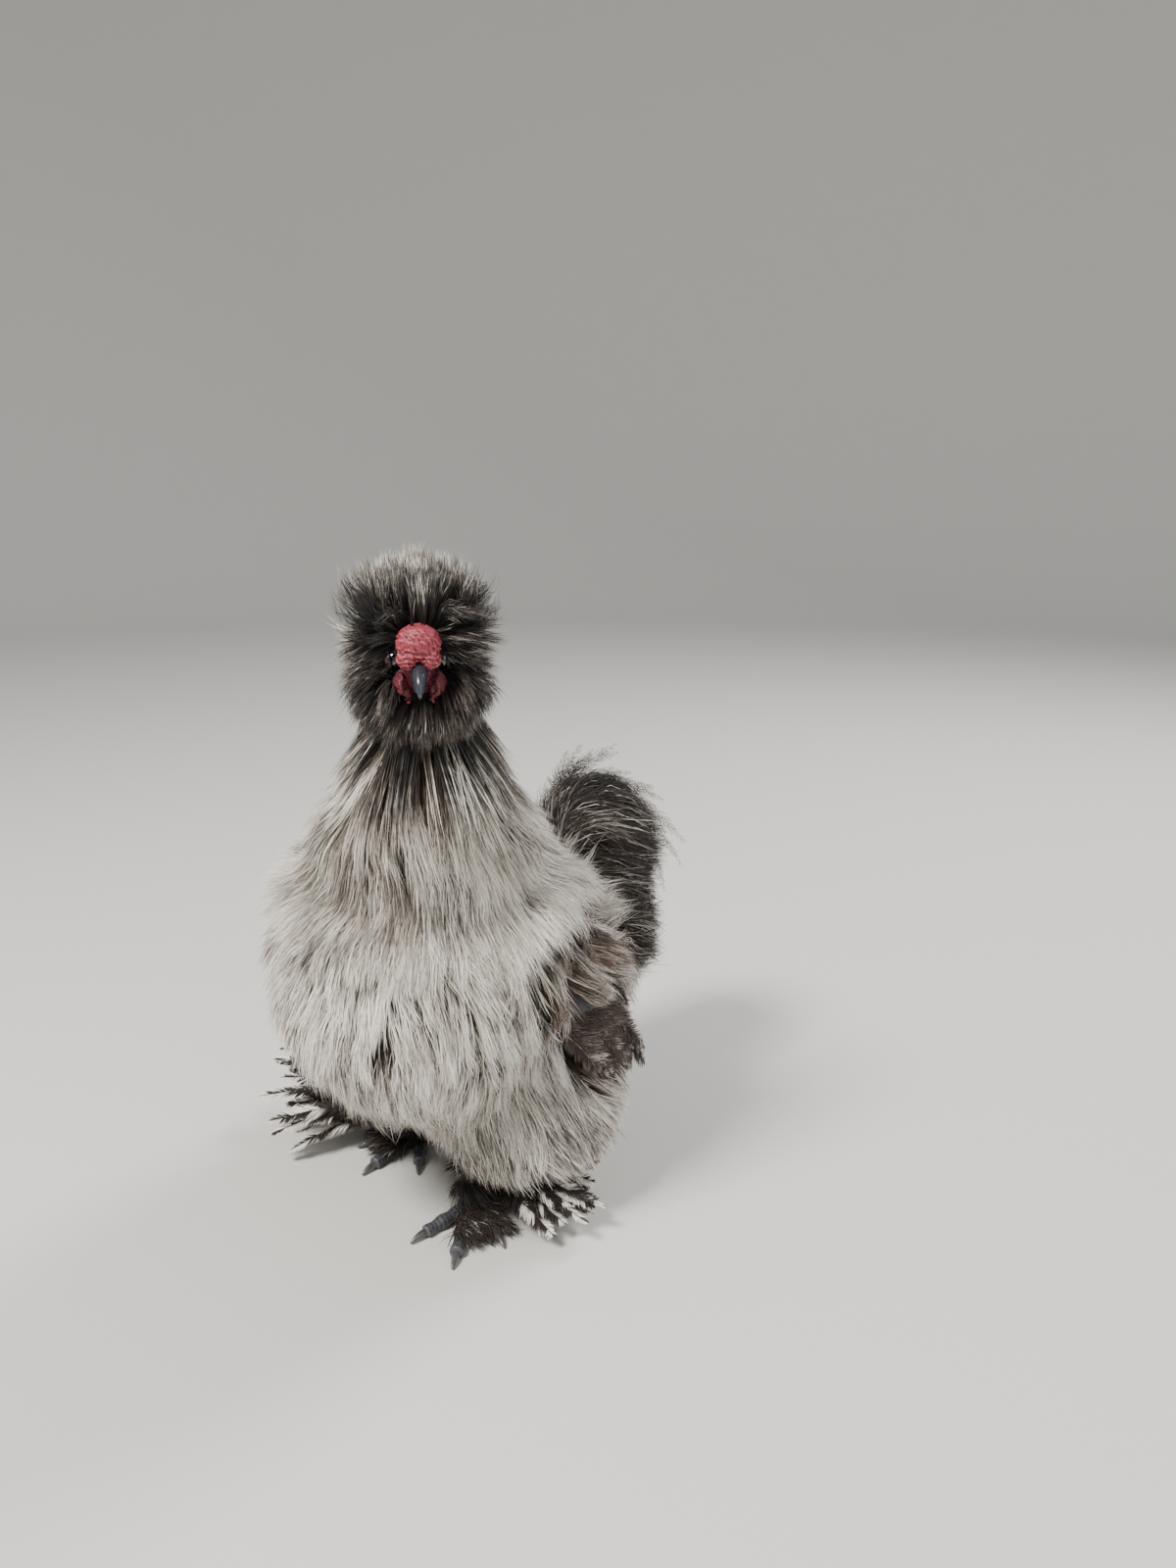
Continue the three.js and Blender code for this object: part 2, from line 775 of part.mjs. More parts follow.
// Plumes that fan up and over from the tail and hang at its outer edge
function tailPlumes() {
  const root = vec([33, 132, 192]);
  const count = 7;
  return Array.from({ length: count }, (_, i) => {
    const lean = rad(-18 + (150 * i) / (count - 1));
    const reach = 52 + 26 * (i / (count - 1)) ** 2;
    const out = (angle, length) =>
      root.clone().add(new THREE.Vector3(Math.sin(angle), 0.22, Math.cos(angle)).multiplyScalar(length));
    return {
      from: out(lean, 6),
      via: out(lean - rad(28), reach * 0.62),
      to: out(lean, reach),
      normal: new THREE.Vector3(0.1, 1, 0.1),
      width: 8,
      thick: 1.8,
    };
  });
}

// Foot feathers: a pad on the outer side of the shank, and vanes fanned from it in two tiers
const FOOT_FEATHERS = {
  left: { pad: [[31, -8, 30], [34, -11, 18], [37, -13, 8]], heading: 14, reach: 66, lift: 16 },
  right: { pad: [[-51, 48, 32], [-54, 47, 20], [-56, 45, 9]], heading: 8, reach: 84, lift: 30 },
};

function footFeathers(name, grow) {
  const side = SIDES[name];
  const { pad, heading, reach, lift } = FOOT_FEATHERS[name];
  const path = new THREE.CatmullRomCurve3(pad.map(vec));
  const tiers = [
    { at: 0.8, count: 4, spread: 46, share: 0.8, rise: 5, droop: 4 },
    { at: 0.3, count: 3, spread: 26, share: 1.12, rise: lift, droop: 8 },
  ];
  const vanes = tiers.flatMap(({ at, count, spread, share, rise, droop }) =>
    Array.from({ length: count }, (_, i) => {
      const turn = rad((name === "left" ? 1 : -1) * heading + (spread * (2 * i - count + 1)) / (count - 1));
      const away = new THREE.Vector3(side * Math.cos(turn), Math.sin(turn), 0);
      const start = path.getPoint(at + 0.09 * (i - (count - 1) / 2));
      const length = reach * share * (1 - 0.12 * Math.abs(2 * i - count + 1) / (count - 1));
      const end = start.clone().addScaledVector(away, length);
      end.z = rise + 2 * (i % 2);
      const via = start.clone().lerp(end, 0.5);
      via.z += droop;
      return { from: start, via, to: end, normal: UP, width: 18, thick: 1.8 };
    }),
  );
  const core = limbSolid(pad.map(vec), [5, 6.5, 7, 5], 8, grow);
  return wasm.Manifold.union([core, ...vanes.map((vane) => vaneSolid(vane, grow))]);
}

function coatSolid(name, grow) {
  const { form, locks, avoid, vanes = [] } = COATS[name];
  return wasm.Manifold.union([
    shellSolid(form, grow),
    ...locksOf(form, locks, avoid, grow),
    ...vanes.map((vane) => vaneSolid(vane, grow)),
  ]);
}

const feet = {
  left: feetOf("left", SOLE_LEFT, 1),
  right: feetOf("right", SOLE_RIGHT, -1),
};
const SHANKS = {
  left: [[31, 2, 62], [27, -5, 36], [SOLE_LEFT[0], SOLE_LEFT[1] + 1, 12]],
  right: [[-44, 40, 62], [-43, 46, 36], [SOLE_RIGHT[0], SOLE_RIGHT[1] + 1, 12]],
};
const shankSolid = (name, grow) => limbSolid(SHANKS[name].map(vec), [9, 7, 5.8, 5.3, 6.2], 8, grow);

// Parts, each giving way to those before it

const FINISHES = {
  plumage_dark: { color: 0x2a2624, roughness: 0.95 },
  plumage_wing: { color: 0x67625c, roughness: 0.95 },
  plumage_pale: { color: 0xb9b2a4, roughness: 0.95 },
  plumage_grey: { color: 0x8d867b, roughness: 0.95 },
  plumage_head: { color: 0x4f4b47, roughness: 0.95 },
  comb_skin: { color: 0x9c3f48, roughness: 0.6 },
  face_skin: { color: 0x35303a, roughness: 0.7 },
  leg_skin: { color: 0x4a4d55, roughness: 0.6 },
  horn: { color: 0x33373f, roughness: 0.35 },
  eye: { color: 0x0b0b0c, roughness: 0.05 },
};

const group = new THREE.Group();
const placed = [];

function addPart(name, finish, make) {
  let solid = make(0);
  const box = solid.boundingBox();
  for (const other of placed) {
    const near = [0, 1, 2].every(
      (k) => box.min[k] < other.box.max[k] + 1 && box.max[k] > other.box.min[k] - 1,
    );
    if (near) solid = solid.subtract(other.grown());
  }
  solid = largest(solid);
  let grown = null;
  placed.push({ box: solid.boundingBox(), grown: () => (grown ??= make(GAP)) });
  const mesh = new THREE.Mesh(geometryOf(solid), new THREE.MeshStandardMaterial(FINISHES[finish]));
  mesh.name = name;
  group.add(mesh);
}

for (const [name, side] of Object.entries(SIDES)) {
  addPart(`eye_${name}`, "eye", (grow) => eyeSolid(side, grow));
}
addPart("bill_upper", "horn", upperBill);
addPart("bill_lower", "horn", (grow) => solidOf(billGeometry(BILL_LOWER, BILL_LOWER_TIP, grow)));
addPart("head", "face_skin", headSolid);
addPart("comb", "comb_skin", (grow) => shellSolid(comb, grow));
for (const [name, side] of Object.entries(SIDES)) {
  addPart(`wattle_${name}`, "comb_skin", (grow) => wattleSolid(side, grow));
}
addPart("crest", "plumage_head", (grow) => coatSolid("crest", grow));
addPart("beard", "plumage_head", (grow) => coatSolid("beard", grow));
addPart("neck", "plumage_pale", (grow) => coatSolid("neck", grow));
for (const name of Object.keys(SIDES)) {
  for (const { name: claw, solid } of feet[name].claws) addPart(claw, "horn", solid);
  addPart(`foot_${name}`, "leg_skin", feet[name].bare);
  addPart(`shank_${name}`, "leg_skin", (grow) => shankSolid(name, grow));
  addPart(`foot_feathers_${name}`, "plumage_dark", (grow) => footFeathers(name, grow));
}
for (const name of Object.keys(SIDES)) {
  addPart(`wing_${name}`, "plumage_wing", (grow) => coatSolid(`wing_${name}`, grow));
}
addPart("tail", "plumage_dark", (grow) => coatSolid("tail", grow));
addPart("torso", "plumage_pale", (grow) => coatSolid("torso", grow));
for (const name of Object.keys(SIDES)) {
  addPart(`thigh_${name}`, "plumage_grey", (grow) => coatSolid(`thigh_${name}`, grow));
}

// The origin goes to the middle of the bounding box's foot
const bounds = new THREE.Box3().setFromObject(group);
const middle = bounds.getCenter(new THREE.Vector3());
group.children.forEach((mesh) => mesh.geometry.translate(-middle.x, -middle.y, -bounds.min.z));

export default group;
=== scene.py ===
import math

import bpy
import numpy as np
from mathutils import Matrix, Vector


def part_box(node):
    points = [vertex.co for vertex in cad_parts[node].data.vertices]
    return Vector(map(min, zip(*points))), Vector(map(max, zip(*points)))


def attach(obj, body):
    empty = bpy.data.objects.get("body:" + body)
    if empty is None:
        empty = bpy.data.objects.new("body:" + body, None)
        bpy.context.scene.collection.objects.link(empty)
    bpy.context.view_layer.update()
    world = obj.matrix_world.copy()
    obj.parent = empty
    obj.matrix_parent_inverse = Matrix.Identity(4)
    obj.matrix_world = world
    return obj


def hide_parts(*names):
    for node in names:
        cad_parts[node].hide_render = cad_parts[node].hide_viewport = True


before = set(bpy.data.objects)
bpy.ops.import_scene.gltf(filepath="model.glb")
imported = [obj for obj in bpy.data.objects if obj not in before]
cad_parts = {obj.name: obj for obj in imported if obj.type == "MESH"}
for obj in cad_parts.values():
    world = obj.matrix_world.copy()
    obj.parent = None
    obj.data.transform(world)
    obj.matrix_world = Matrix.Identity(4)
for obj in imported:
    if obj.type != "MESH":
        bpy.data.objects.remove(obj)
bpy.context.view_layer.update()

# Life-size standing silkie cockerel, laid out in millimetres facing -Y with its left at +X, then
# placed in the frame by the middle of its two eyes.
MM = 0.001
EYE_MID = np.array([39.0, -88.0, 331.0])
HEAD_YAW = math.radians(28)
HEAD_PITCH = math.radians(15)
SOLE = {"left": np.array([23.0, -16.0, 0.0]), "right": np.array([-42.0, 46.0, 0.0])}
SIDES = {"left": 1, "right": -1}
DENSITY = 1.0
ANY_PHASE = 6.3
EYES_AT = [np.sum(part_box(f"eye_{side}"), axis=0) / 2 for side in SIDES]
OFFSET = sum(EYES_AT) / 2 - EYE_MID * MM


def place(points):
    return np.asarray(points, float) * MM + OFFSET


# Small helpers

def unit(v):
    return v / (np.linalg.norm(v, axis=-1, keepdims=True) + 1e-12)


def smooth(x):
    x = np.clip(x, 0, 1)
    return x * x * (3 - 2 * x)


def bump_at(points, centre, radii):
    return np.exp(-(((points - centre) / radii) ** 2).sum(-1))


# A curve through points, sampled at shares from 0 to 1
def spline(points, shares):
    p = np.asarray(points, float)
    p = np.vstack([2 * p[0] - p[1], p, 2 * p[-1] - p[-2]])
    t = np.clip(shares, 0.0, 1.0) * (len(p) - 3)
    i = np.minimum(t.astype(int), len(p) - 4)
    k = (t - i)[:, None]
    a, b, c, d = p[i], p[i + 1], p[i + 2], p[i + 3]
    return 0.5 * (
        2 * b + (c - a) * k + (2 * a - 5 * b + 4 * c - d) * k**2 + (3 * b - a - 3 * c + d) * k**3
    )


def turn_matrix(angle, i, j):
    matrix = np.eye(3)
    matrix[i, i] = matrix[j, j] = math.cos(angle)
    matrix[i, j], matrix[j, i] = -math.sin(angle), math.sin(angle)
    return matrix


HEAD = turn_matrix(HEAD_YAW, 0, 1) @ turn_matrix(HEAD_PITCH, 1, 2)


def from_head(points):
    return points @ HEAD.T + EYE_MID


def to_head(points):
    return (points - EYE_MID) @ HEAD


WAVE_COUNT, WAVE_PACE, WAVE_TOTAL = 7, (0.6, 1.6), 3.2


# A smooth repeatable noise from a few sine waves, about -1 to 1
def waves(points, size, seed):
    rng = np.random.default_rng(seed)
    pace = 2 * math.pi / size
    total = np.zeros(len(points))
    for _ in range(WAVE_COUNT):
        way = unit(rng.normal(size=3))
        total += np.sin(points @ way * pace * rng.uniform(*WAVE_PACE) + rng.uniform(0, ANY_PHASE))
    return total / WAVE_TOTAL


# Soft forms: blobs blended into one field, in mm outwards from the surface

SLOPE_STEP, GRAZING = 0.6, 0.15
FAR_OUT, MARCH, HALVINGS = 150.0, 2.5, 10
CANDIDATES = 4


class Form:
    def __init__(self, blobs, centre, axis, blend=6.0, in_head=False):
        self.blobs = blobs
        self.at, self.radii = np.array(blobs, float).transpose(1, 0, 2)
        self.blend = blend
        self.in_head = in_head
        centre, axis = np.array([centre, axis], float)
        self.centre = from_head(centre) if in_head else centre
        self.axis = unit(axis @ HEAD.T if in_head else axis)

    def field(self, points):
        p = to_head(points) if self.in_head else points
        q = (p[:, None, :] - self.at) / self.radii
        near = np.linalg.norm(q, axis=2)
        slope = np.linalg.norm(q / self.radii, axis=2) + 1e-9
        away = near * (near - 1) / slope
        return -self.blend * np.log(np.exp(-away / self.blend).sum(1) + 1e-30)

    def slope(self, points):
        steps = SLOPE_STEP * np.eye(3)
        rises = [self.field(points + step) - self.field(points - step) for step in steps]
        return np.stack(rises, 1) / (2 * SLOPE_STEP)

    def directions(self, polar, turn):
        helper = np.eye(3)[0 if abs(self.axis[0]) < 0.9 else 2]
        u = unit(np.cross(helper, self.axis))
        w = np.cross(self.axis, u)
        return (
            np.cos(polar)[:, None] * self.axis
            + (np.sin(polar) * np.cos(turn))[:, None] * u
            + (np.sin(polar) * np.sin(turn))[:, None] * w
        )

    # Where each ray from the centre leaves the form
    def surface(self, rays):
        outside = np.full(len(rays), FAR_OUT)
        marching = np.ones(len(rays), bool)
        for _ in range(int(FAR_OUT / MARCH)):
            marching &= self.field(self.centre + rays * (outside - MARCH)[:, None]) > 0
            outside = np.where(marching, outside - MARCH, outside)
        inside = outside - MARCH
        for _ in range(HALVINGS):
            middle = (inside + outside) / 2
            out = self.field(self.centre + rays * middle[:, None]) > 0
            outside = np.where(out, middle, outside)
            inside = np.where(out, inside, middle)
        return self.centre + rays * inside[:, None]

    # Roots spread evenly over the surface, with the two angles that unwrap it
    def roots(self, count, rng):
        many = count * CANDIDATES
        polar = np.arccos(rng.uniform(-1, 1, many))
        turn = rng.uniform(0, 2 * math.pi, many)
        rays = self.directions(polar, turn)
        points = self.surface(rays)
        normals = unit(self.slope(points))
        reach = np.linalg.norm(points - self.centre, axis=1)
        weight = reach**2 / np.clip((rays * normals).sum(1), GRAZING, 1)
        chosen = rng.choice(many, count, replace=False, p=weight / weight.sum())
        return points[chosen], np.stack([turn[chosen] / (2 * math.pi), polar[chosen] / math.pi], 1)

    # A lie that leads round the form from its axis to its far pole
    def round_lie(self, points, pull=(0, 0, 0)):
        ray = unit(points - self.centre)
        cosine = (ray @ self.axis)[:, None]
        sine = np.sqrt(np.clip(1 - cosine**2, 0, 1))
        out = unit(ray - cosine * self.axis)
        return out * cosine - sine * self.axis + pull

    def with_forms(self, *others):
        blobs = sum([form.blobs for form in others], self.blobs)
        return Form(blobs, self.centre, self.axis, self.blend)


# Each blob has a middle and radii. After them come the form's own middle and axis.
TORSO = Form(
    [
        ([0, -40, 148], [63, 52, 58]), ([0, 18, 116], [70, 72, 54]), ([6, 80, 128], [46, 46, 44]),
        ([2, -8, 182], [68, 58, 38]), ([36, 28, 84], [48, 56, 42]),
    ],
    [2, 18, 130], [0.05, -0.55, 0.83],
)
NECK = Form(
    [
        ([33, -72, 300], [20, 20, 20]), ([27, -64, 268], [29, 28, 32]),
        ([17, -46, 238], [40, 37, 28]), ([8, -27, 224], [52, 42, 19]),
    ],
    [16, -48, 240], [0.25, -0.35, 0.9],
)
TAIL = Form(
    [
        ([26, 118, 150], [30, 30, 36]), ([40, 138, 188], [30, 28, 36]),
        ([56, 120, 134], [20, 24, 28]),
    ],
    [28, 122, 166], [-0.2, -0.8, -0.5],
)
THIGH = {
    "left": Form([([46, 16, 58], [42, 46, 28])], [46, 16, 58], [0, 0, 1]),
    "right": Form([([-44, 38, 64], [34, 44, 28])], [-44, 38, 64], [0, 0, 1]),
}
WING = {
    name: Form(
        [([s * 72, -10, 166], [11, 34, 32]), ([s * 78, 34, 128], [11, 46, 30])],
        [s * 75, 14, 146], [s, 0, 0],
    )
    for name, s in SIDES.items()
}
LEG = {
    name: Form([(high, [8, 8, 30]), (low, [9, 12, 9])], middle, [0, 0, 1], blend=3.0)
    for name, high, low, middle in [
        ("left", [28, -2, 42], [24, -13, 15], [26, -8, 28]),
        ("right", [-44, 43, 42], [-42, 47, 15], [-43, 45, 28]),
    ]
}
SKULL = Form(
    [([0, 7, 3], [13.5, 18, 13]), ([0, -8, -2], [9.5, 12, 9.5]), ([0, 2, -9], [9, 15, 8])],
    [0, 3, -1], [0, -1, 0], blend=4.0, in_head=True,
)
CREST = Form(
    [([0, 13, 15], [20, 19, 7]), ([0, 24, 3], [16, 10, 12])],
    [0, 13, 13.5], [0, -0.94, -0.34], blend=4.0, in_head=True,
)
BEARD = Form(
    [([15, 3, -14], [11, 13, 9]), ([-15, 3, -14], [11, 13, 9]), ([0, -2, -20], [13, 9, 9])],
    [0, 2, -16], [0, 0, 1], blend=4.0, in_head=True,
)
BODY_FORMS = [TORSO, NECK, TAIL, *THIGH.values(), *WING.values()]
BODY = TORSO.with_forms(*THIGH.values(), *WING.values(), TAIL)
SHOULDERS = NECK.with_forms(TORSO, *WING.values())


# Meshes

def linked(name, data):
    obj = bpy.data.objects.new(name, data)
    bpy.context.collection.objects.link(obj)
    return obj


def mesh_object(name, points, faces, uv=None):
    points = np.asarray(points, np.float32)
    faces = np.asarray(faces, np.int32)
    corners = faces.shape[1]
    mesh = bpy.data.meshes.new(name)
    mesh.vertices.add(len(points))
    mesh.vertices.foreach_set("co", points.ravel())
    mesh.loops.add(faces.size)
    mesh.loops.foreach_set("vertex_index", faces.ravel())
    mesh.polygons.add(len(faces))
    mesh.polygons.foreach_set("loop_start", np.arange(0, faces.size, corners, dtype=np.int32))
    if uv is not None:
        layer = mesh.uv_layers.new(name="OFBake")
        layer.data.foreach_set("uv", np.asarray(uv, np.float32)[faces.ravel()].ravel())
    mesh.update(calc_edges=True)
    mesh.shade_smooth()
    mesh.validate()
    return linked(name, mesh)


def finish_piece(obj, material, replaced):
    obj.data.materials.append(material)
    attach(obj, "root")
    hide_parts(*replaced)


def colour_attribute(obj, name, *channels):
    rgba = np.ones((len(obj.data.vertices), 4), np.float32)
    for k, values in enumerate(channels):
        rgba[:, k] = values
    attribute = obj.data.attributes.new(name, "FLOAT_COLOR", "POINT")
    attribute.data.foreach_set("color", rgba.ravel())


# Three values for each of so many points
def painted(count, *values):
    return np.stack([np.broadcast_to(value, count) for value in values], 1)


def stacked(solids):
    points, faces, start = [], [], 0
    for p, f in solids:
        points.append(p)
        faces.append(f + start)
        start += len(p)
    return np.vstack(points), np.vstack(faces)


# A closed skin of rings of equal size between two end points
def lofted(rings, first, last):
    count, sides, _ = rings.shape
    points = np.vstack([[first], rings.reshape(-1, 3), [last]])
    end = len(points) - 1
    faces = []
    for j in range(sides):
        k = (j + 1) % sides
        faces.append([0, 1 + k, 1 + j])
        faces.append([end, end - sides + j, end - sides + k])
        for i in range(count - 1):
            a, b = 1 + i * sides + j, 1 + i * sides + k
            faces += [[a, b, b + sides], [a, b + sides, a + sides]]
    return points, np.array(faces)


def whole_turn(count):
    return np.linspace(0, 2 * math.pi, count, endpoint=False)


# Rings round the Z axis
def turned(radii, heights, sides):
    turn = whole_turn(sides)
    x, y = np.outer(radii, np.cos(turn)), np.outer(radii, np.sin(turn))
    return np.stack([x, y, np.outer(heights, np.ones(sides))], 2)


def ellipsoid(centre, radii, across=24, down=16):
    polar = np.linspace(0, math.pi, down + 1)[1:-1]
    rings = turned(np.sin(polar), np.cos(polar), across)
    points, faces = lofted(rings, [0, 0, 1], [0, 0, -1])
    return points * radii + centre, faces[:, ::-1]


TUBE_HELPER = [0.13, 0.21, 1.0]
TUBE_CAP = 0.5


# A round limb along a path, with one radius for each point of it
def tube(path, radii, sides=20):
    heading = unit(np.gradient(path, axis=0))
    side = unit(np.cross(heading, TUBE_HELPER))
    top = np.cross(side, heading)
    turn = whole_turn(sides)[None, :, None]
    around = side[:, None] * np.cos(turn) + top[:, None] * np.sin(turn)
    rings = path[:, None] + around * radii[:, None, None]
    first = path[0] - heading[0] * radii[0] * TUBE_CAP
    return lofted(rings, first, path[-1] + heading[-1] * radii[-1] * TUBE_CAP)


# Joins overlapping solids into one skin of small quads
def fused(solids, voxel, soften):
    points, faces = stacked(solids)
    obj = mesh_object("fusing", points * MM, faces)
    modifier = obj.modifiers.new("join", "REMESH")
    modifier.mode = "VOXEL"
    modifier.voxel_size = voxel * MM
    softer = obj.modifiers.new("soften", "SMOOTH")
    softer.factor = 0.5
    softer.iterations = soften
    mesh = obj.evaluated_get(bpy.context.evaluated_depsgraph_get()).to_mesh()
    corners = np.empty(len(mesh.vertices) * 3, np.float32)
    mesh.vertices.foreach_get("co", corners)
    quads = np.empty(len(mesh.loops), np.int32)
    mesh.loops.foreach_get("vertex_index", quads)
    bpy.data.objects.remove(obj)
    return corners.reshape(-1, 3).astype(float) / MM, quads.reshape(-1, 4)


def vertex_normals(points, quads):
    a, b, c, d = (points[quads[:, k]] for k in range(4))
    across = np.cross(c - a, d - b)
    normals = np.zeros_like(points)
    for k in range(4):
        np.add.at(normals, quads[:, k], across)
    return unit(normals)


# Materials

MIX_COLOUR_INPUTS = (0, 6, 7)
MIX_COLOUR_OUTPUT = 2


class Nodes:
    def __init__(self, name):
        self.material = bpy.data.materials.new(name)
        self.material.use_nodes = True
        self.tree = self.material.node_tree
        self.shader = self.tree.nodes["Principled BSDF"]

    def add(self, kind, **values):
        node = self.tree.nodes.new(kind)
        for key, value in values.items():
            if hasattr(node, key):
                setattr(node, key, value)
            else:
                node.inputs[key].default_value = value
        return node

    def link(self, a, b):
        self.tree.links.new(a, b)

    def ramp(self, factor, stops):
        node = self.add("ShaderNodeValToRGB")
        elements = node.color_ramp.elements
        while len(elements) < len(stops):
            elements.new(0.5)
        for element, (position, colour) in zip(elements, stops):
            element.position = position
            element.color = (*colour, 1)
        self.link(factor, node.inputs["Fac"])
        return node.outputs["Color"]

    def feed(self, socket, value):
        if isinstance(value, bpy.types.NodeSocket):
            self.link(value, socket)
        else:
            socket.default_value = (*value, 1) if isinstance(value, tuple) else value

    def mix(self, factor, a, b):
        node = self.add("ShaderNodeMix", data_type="RGBA")
        for index, value in zip(MIX_COLOUR_INPUTS, (factor, a, b)):
            self.feed(node.inputs[index], value)
        return node.outputs[MIX_COLOUR_OUTPUT]

    def math(self, operation, a, b, clamp=False):
        node = self.add("ShaderNodeMath", operation=operation, use_clamp=clamp)
        for socket, value in zip(node.inputs, (a, b)):
            self.feed(socket, value)
        return node.outputs[0]

    # How far a value is from its middle, times a gain
    def swing(self, value, middle, gain):
        return self.math("MULTIPLY", self.math("SUBTRACT", value, middle), gain)

    def noise(self, scale, detail=3.0):
        where = self.add("ShaderNodeTexCoord")
        node = self.add("ShaderNodeTexNoise", Scale=scale, Detail=detail, Roughness=0.6)
        self.link(where.outputs["Object"], node.inputs["Vector"])
        return node.outputs["Fac"]

    def bump(self, height, strength, distance):
        node = self.add("ShaderNodeBump", Strength=strength, Distance=distance)
        self.link(height, node.inputs["Height"])
        self.link(node.outputs["Normal"], self.shader.inputs["Normal"])

    def attribute(self, name):
        node = self.add("ShaderNodeAttribute", attribute_name=name)
        split = self.add("ShaderNodeSeparateColor")
        self.link(node.outputs["Color"], split.inputs["Color"])
        return list(split.outputs)

    def colour(self, socket):
        self.link(socket, self.shader.inputs["Base Color"])

    def set(self, **values):
        for key, value in values.items():
            self.shader.inputs[key.replace("_", " ")].default_value = value


# The coat attribute holds tone, place along the strand, and brownness. Tones rise towards the tip.
def plumage_material(name, stops, brown, tip_gain):
    n = Nodes(name)
    tone, along, warmth = n.attribute("coat")
    grain = n.swing(n.noise(260.0, detail=4.0), middle=0.5, gain=0.5)
    rise = n.swing(along, middle=0.45, gain=tip_gain)
    value = n.math("ADD", n.math("ADD", tone, rise), grain, clamp=True)
    n.colour(n.mix(warmth, n.ramp(value, stops), brown))
    n.set(Roughness=0.7, Specular_IOR_Level=0.3, Sheen_Weight=0.12)
    return n.material


BLACK = (0.005, 0.0045, 0.0045)
SOOT = (0.02, 0.016, 0.014)
GREY = (0.13, 0.115, 0.102)
PALE = (0.58, 0.54, 0.475)
CREAM = (0.92, 0.88, 0.81)
DARK_BROWN = (0.05, 0.026, 0.015)
PALE_STOPS = [(0.0, BLACK), (0.2, SOOT), (0.42, GREY), (0.66, PALE), (1.0, CREAM)]
DARK_STOPS = [(0.0, BLACK), (0.4, SOOT), (0.62, GREY), (0.8, PALE), (1.0, CREAM)]

plumage = {
    "pale": plumage_material("body plumage", PALE_STOPS, (0.27, 0.18, 0.11), 1.1),
    "grey": plumage_material("fluff plumage", PALE_STOPS, (0.20, 0.13, 0.08), 0.75),
    "head": plumage_material("head plumage", DARK_STOPS, DARK_BROWN, 1.35),
    "dark": plumage_material("tail plumage", DARK_STOPS, DARK_BROWN, 0.4),
    "wing": plumage_material("wing plumage", PALE_STOPS, (0.13, 0.06, 0.03), 0.5),
}


# Strands: flat tapered barbs of three rings and a tip

RINGS = np.array([0.0, 0.36, 0.72, 1.0])
RING_WIDTHS = np.array([0.8, 1.0, 0.72])
STRAND_FACES = np.array([[0, 1, 3], [0, 3, 2], [2, 3, 5], [2, 5, 4], [4, 5, 6]])
STRAND_ALONG = np.array([*np.repeat(RINGS[:3], 2), 1.0])
STRAND_ACROSS = np.array([-1, 1, -1, 1, -1, 1, 0.0])
STRAND_POINTS = len(STRAND_ALONG)
UV_PATCH = 0.003
UV_MARGIN = 0.005
MOST_STRANDS = 38000
FLOOR_CLEAR = 0.6


def ribbons(centres, face, half):
    points = []
    for at, share in zip(centres[:3], RING_WIDTHS):
        points += [at - face * half * share, at + face * half * share]
    points.append(centres[3])
    return np.stack(points, 1)


# Joins strands into coat pieces, each under the limit of faces
def coat_pieces(name, strands, tone, warmth, uv, kind, node):
    clear = strands[:, :, 2].min(1) > FLOOR_CLEAR
    strands, tone, warmth, uv = strands[clear], tone[clear], warmth[clear], uv[clear]
    order = np.argsort(uv[:, 0], kind="stable")
    parts = math.ceil(len(strands) / MOST_STRANDS)
    own_patch = np.stack([UV_PATCH / 2 * STRAND_ACROSS, UV_PATCH * (STRAND_ALONG - 0.5)], 1)
    for k, chosen in enumerate(np.array_split(order, parts)):
        points = place(strands[chosen].reshape(-1, 3))
        starts = STRAND_POINTS * np.arange(len(chosen))[:, None, None]
        faces = (STRAND_FACES + starts).reshape(-1, 3)
        middles = np.clip(uv[chosen], 0, 1)[:, None, :] * (1 - 2 * UV_MARGIN) + UV_MARGIN
        title = f"coat_{name}" if parts == 1 else f"coat_{name}_{k + 1}"
        obj = mesh_object(title, points, faces, (middles + own_patch).reshape(-1, 2))
        shown = np.clip([tone[chosen], warmth[chosen]], 0, 1).repeat(STRAND_POINTS, axis=1)
        colour_attribute(obj, "coat", shown[0], np.tile(STRAND_ALONG, len(chosen)), shown[1])
        finish_piece(obj, plumage[kind], [node])


GUIDE_STEPS, ROOT_DEPTH, RISE_CURVE = 8, 2.5, 0.8


# Guides run over a form along the lie, and rise from below the skin to the coat's outer level
def guide_paths(form, roots, lie, run, rise):
    side = unit(np.cross(unit(form.slope(roots)), lie))
    p = roots.copy()
    path = []
    for i in range(GUIDE_STEPS + 1):
        level = -ROOT_DEPTH + (rise + ROOT_DEPTH) * (i / GUIDE_STEPS) ** RISE_CURVE
        for _ in range(2):
            slope = form.slope(p)
            p = p + slope * ((level - form.field(p)) / (slope**2).sum(1))[:, None]
        path.append(p.copy())
        along = unit(np.cross(side, form.slope(p)))
        p = p + along * (run / GUIDE_STEPS)[:, None]
    return np.stack(path, 1), side


CHUNK = 1000
LOCK_CURVE = 1.4


# Which of the others is nearest to each point, in chunks to spare memory
def nearest(points, others):
    found = np.empty(len(points), int)
    for start in range(0, len(points), CHUNK):
        chunk = slice(start, start + CHUNK)
        found[chunk] = ((points[chunk, None] - others) ** 2).sum(2).argmin(1)
    return found


# Neighbouring guides draw together into locks, which are the feathers that show
def gathered(paths, rng, share, pull):
    heads = rng.choice(len(paths), max(1, int(len(paths) * share)), replace=False)
    roots = paths[:, 0]
    owner = heads[nearest(roots, roots[heads])]
    s = np.linspace(0, 1, paths.shape[1])[None, :, None]
    return paths + (paths[owner] - paths) * pull * s**LOCK_CURVE, owner


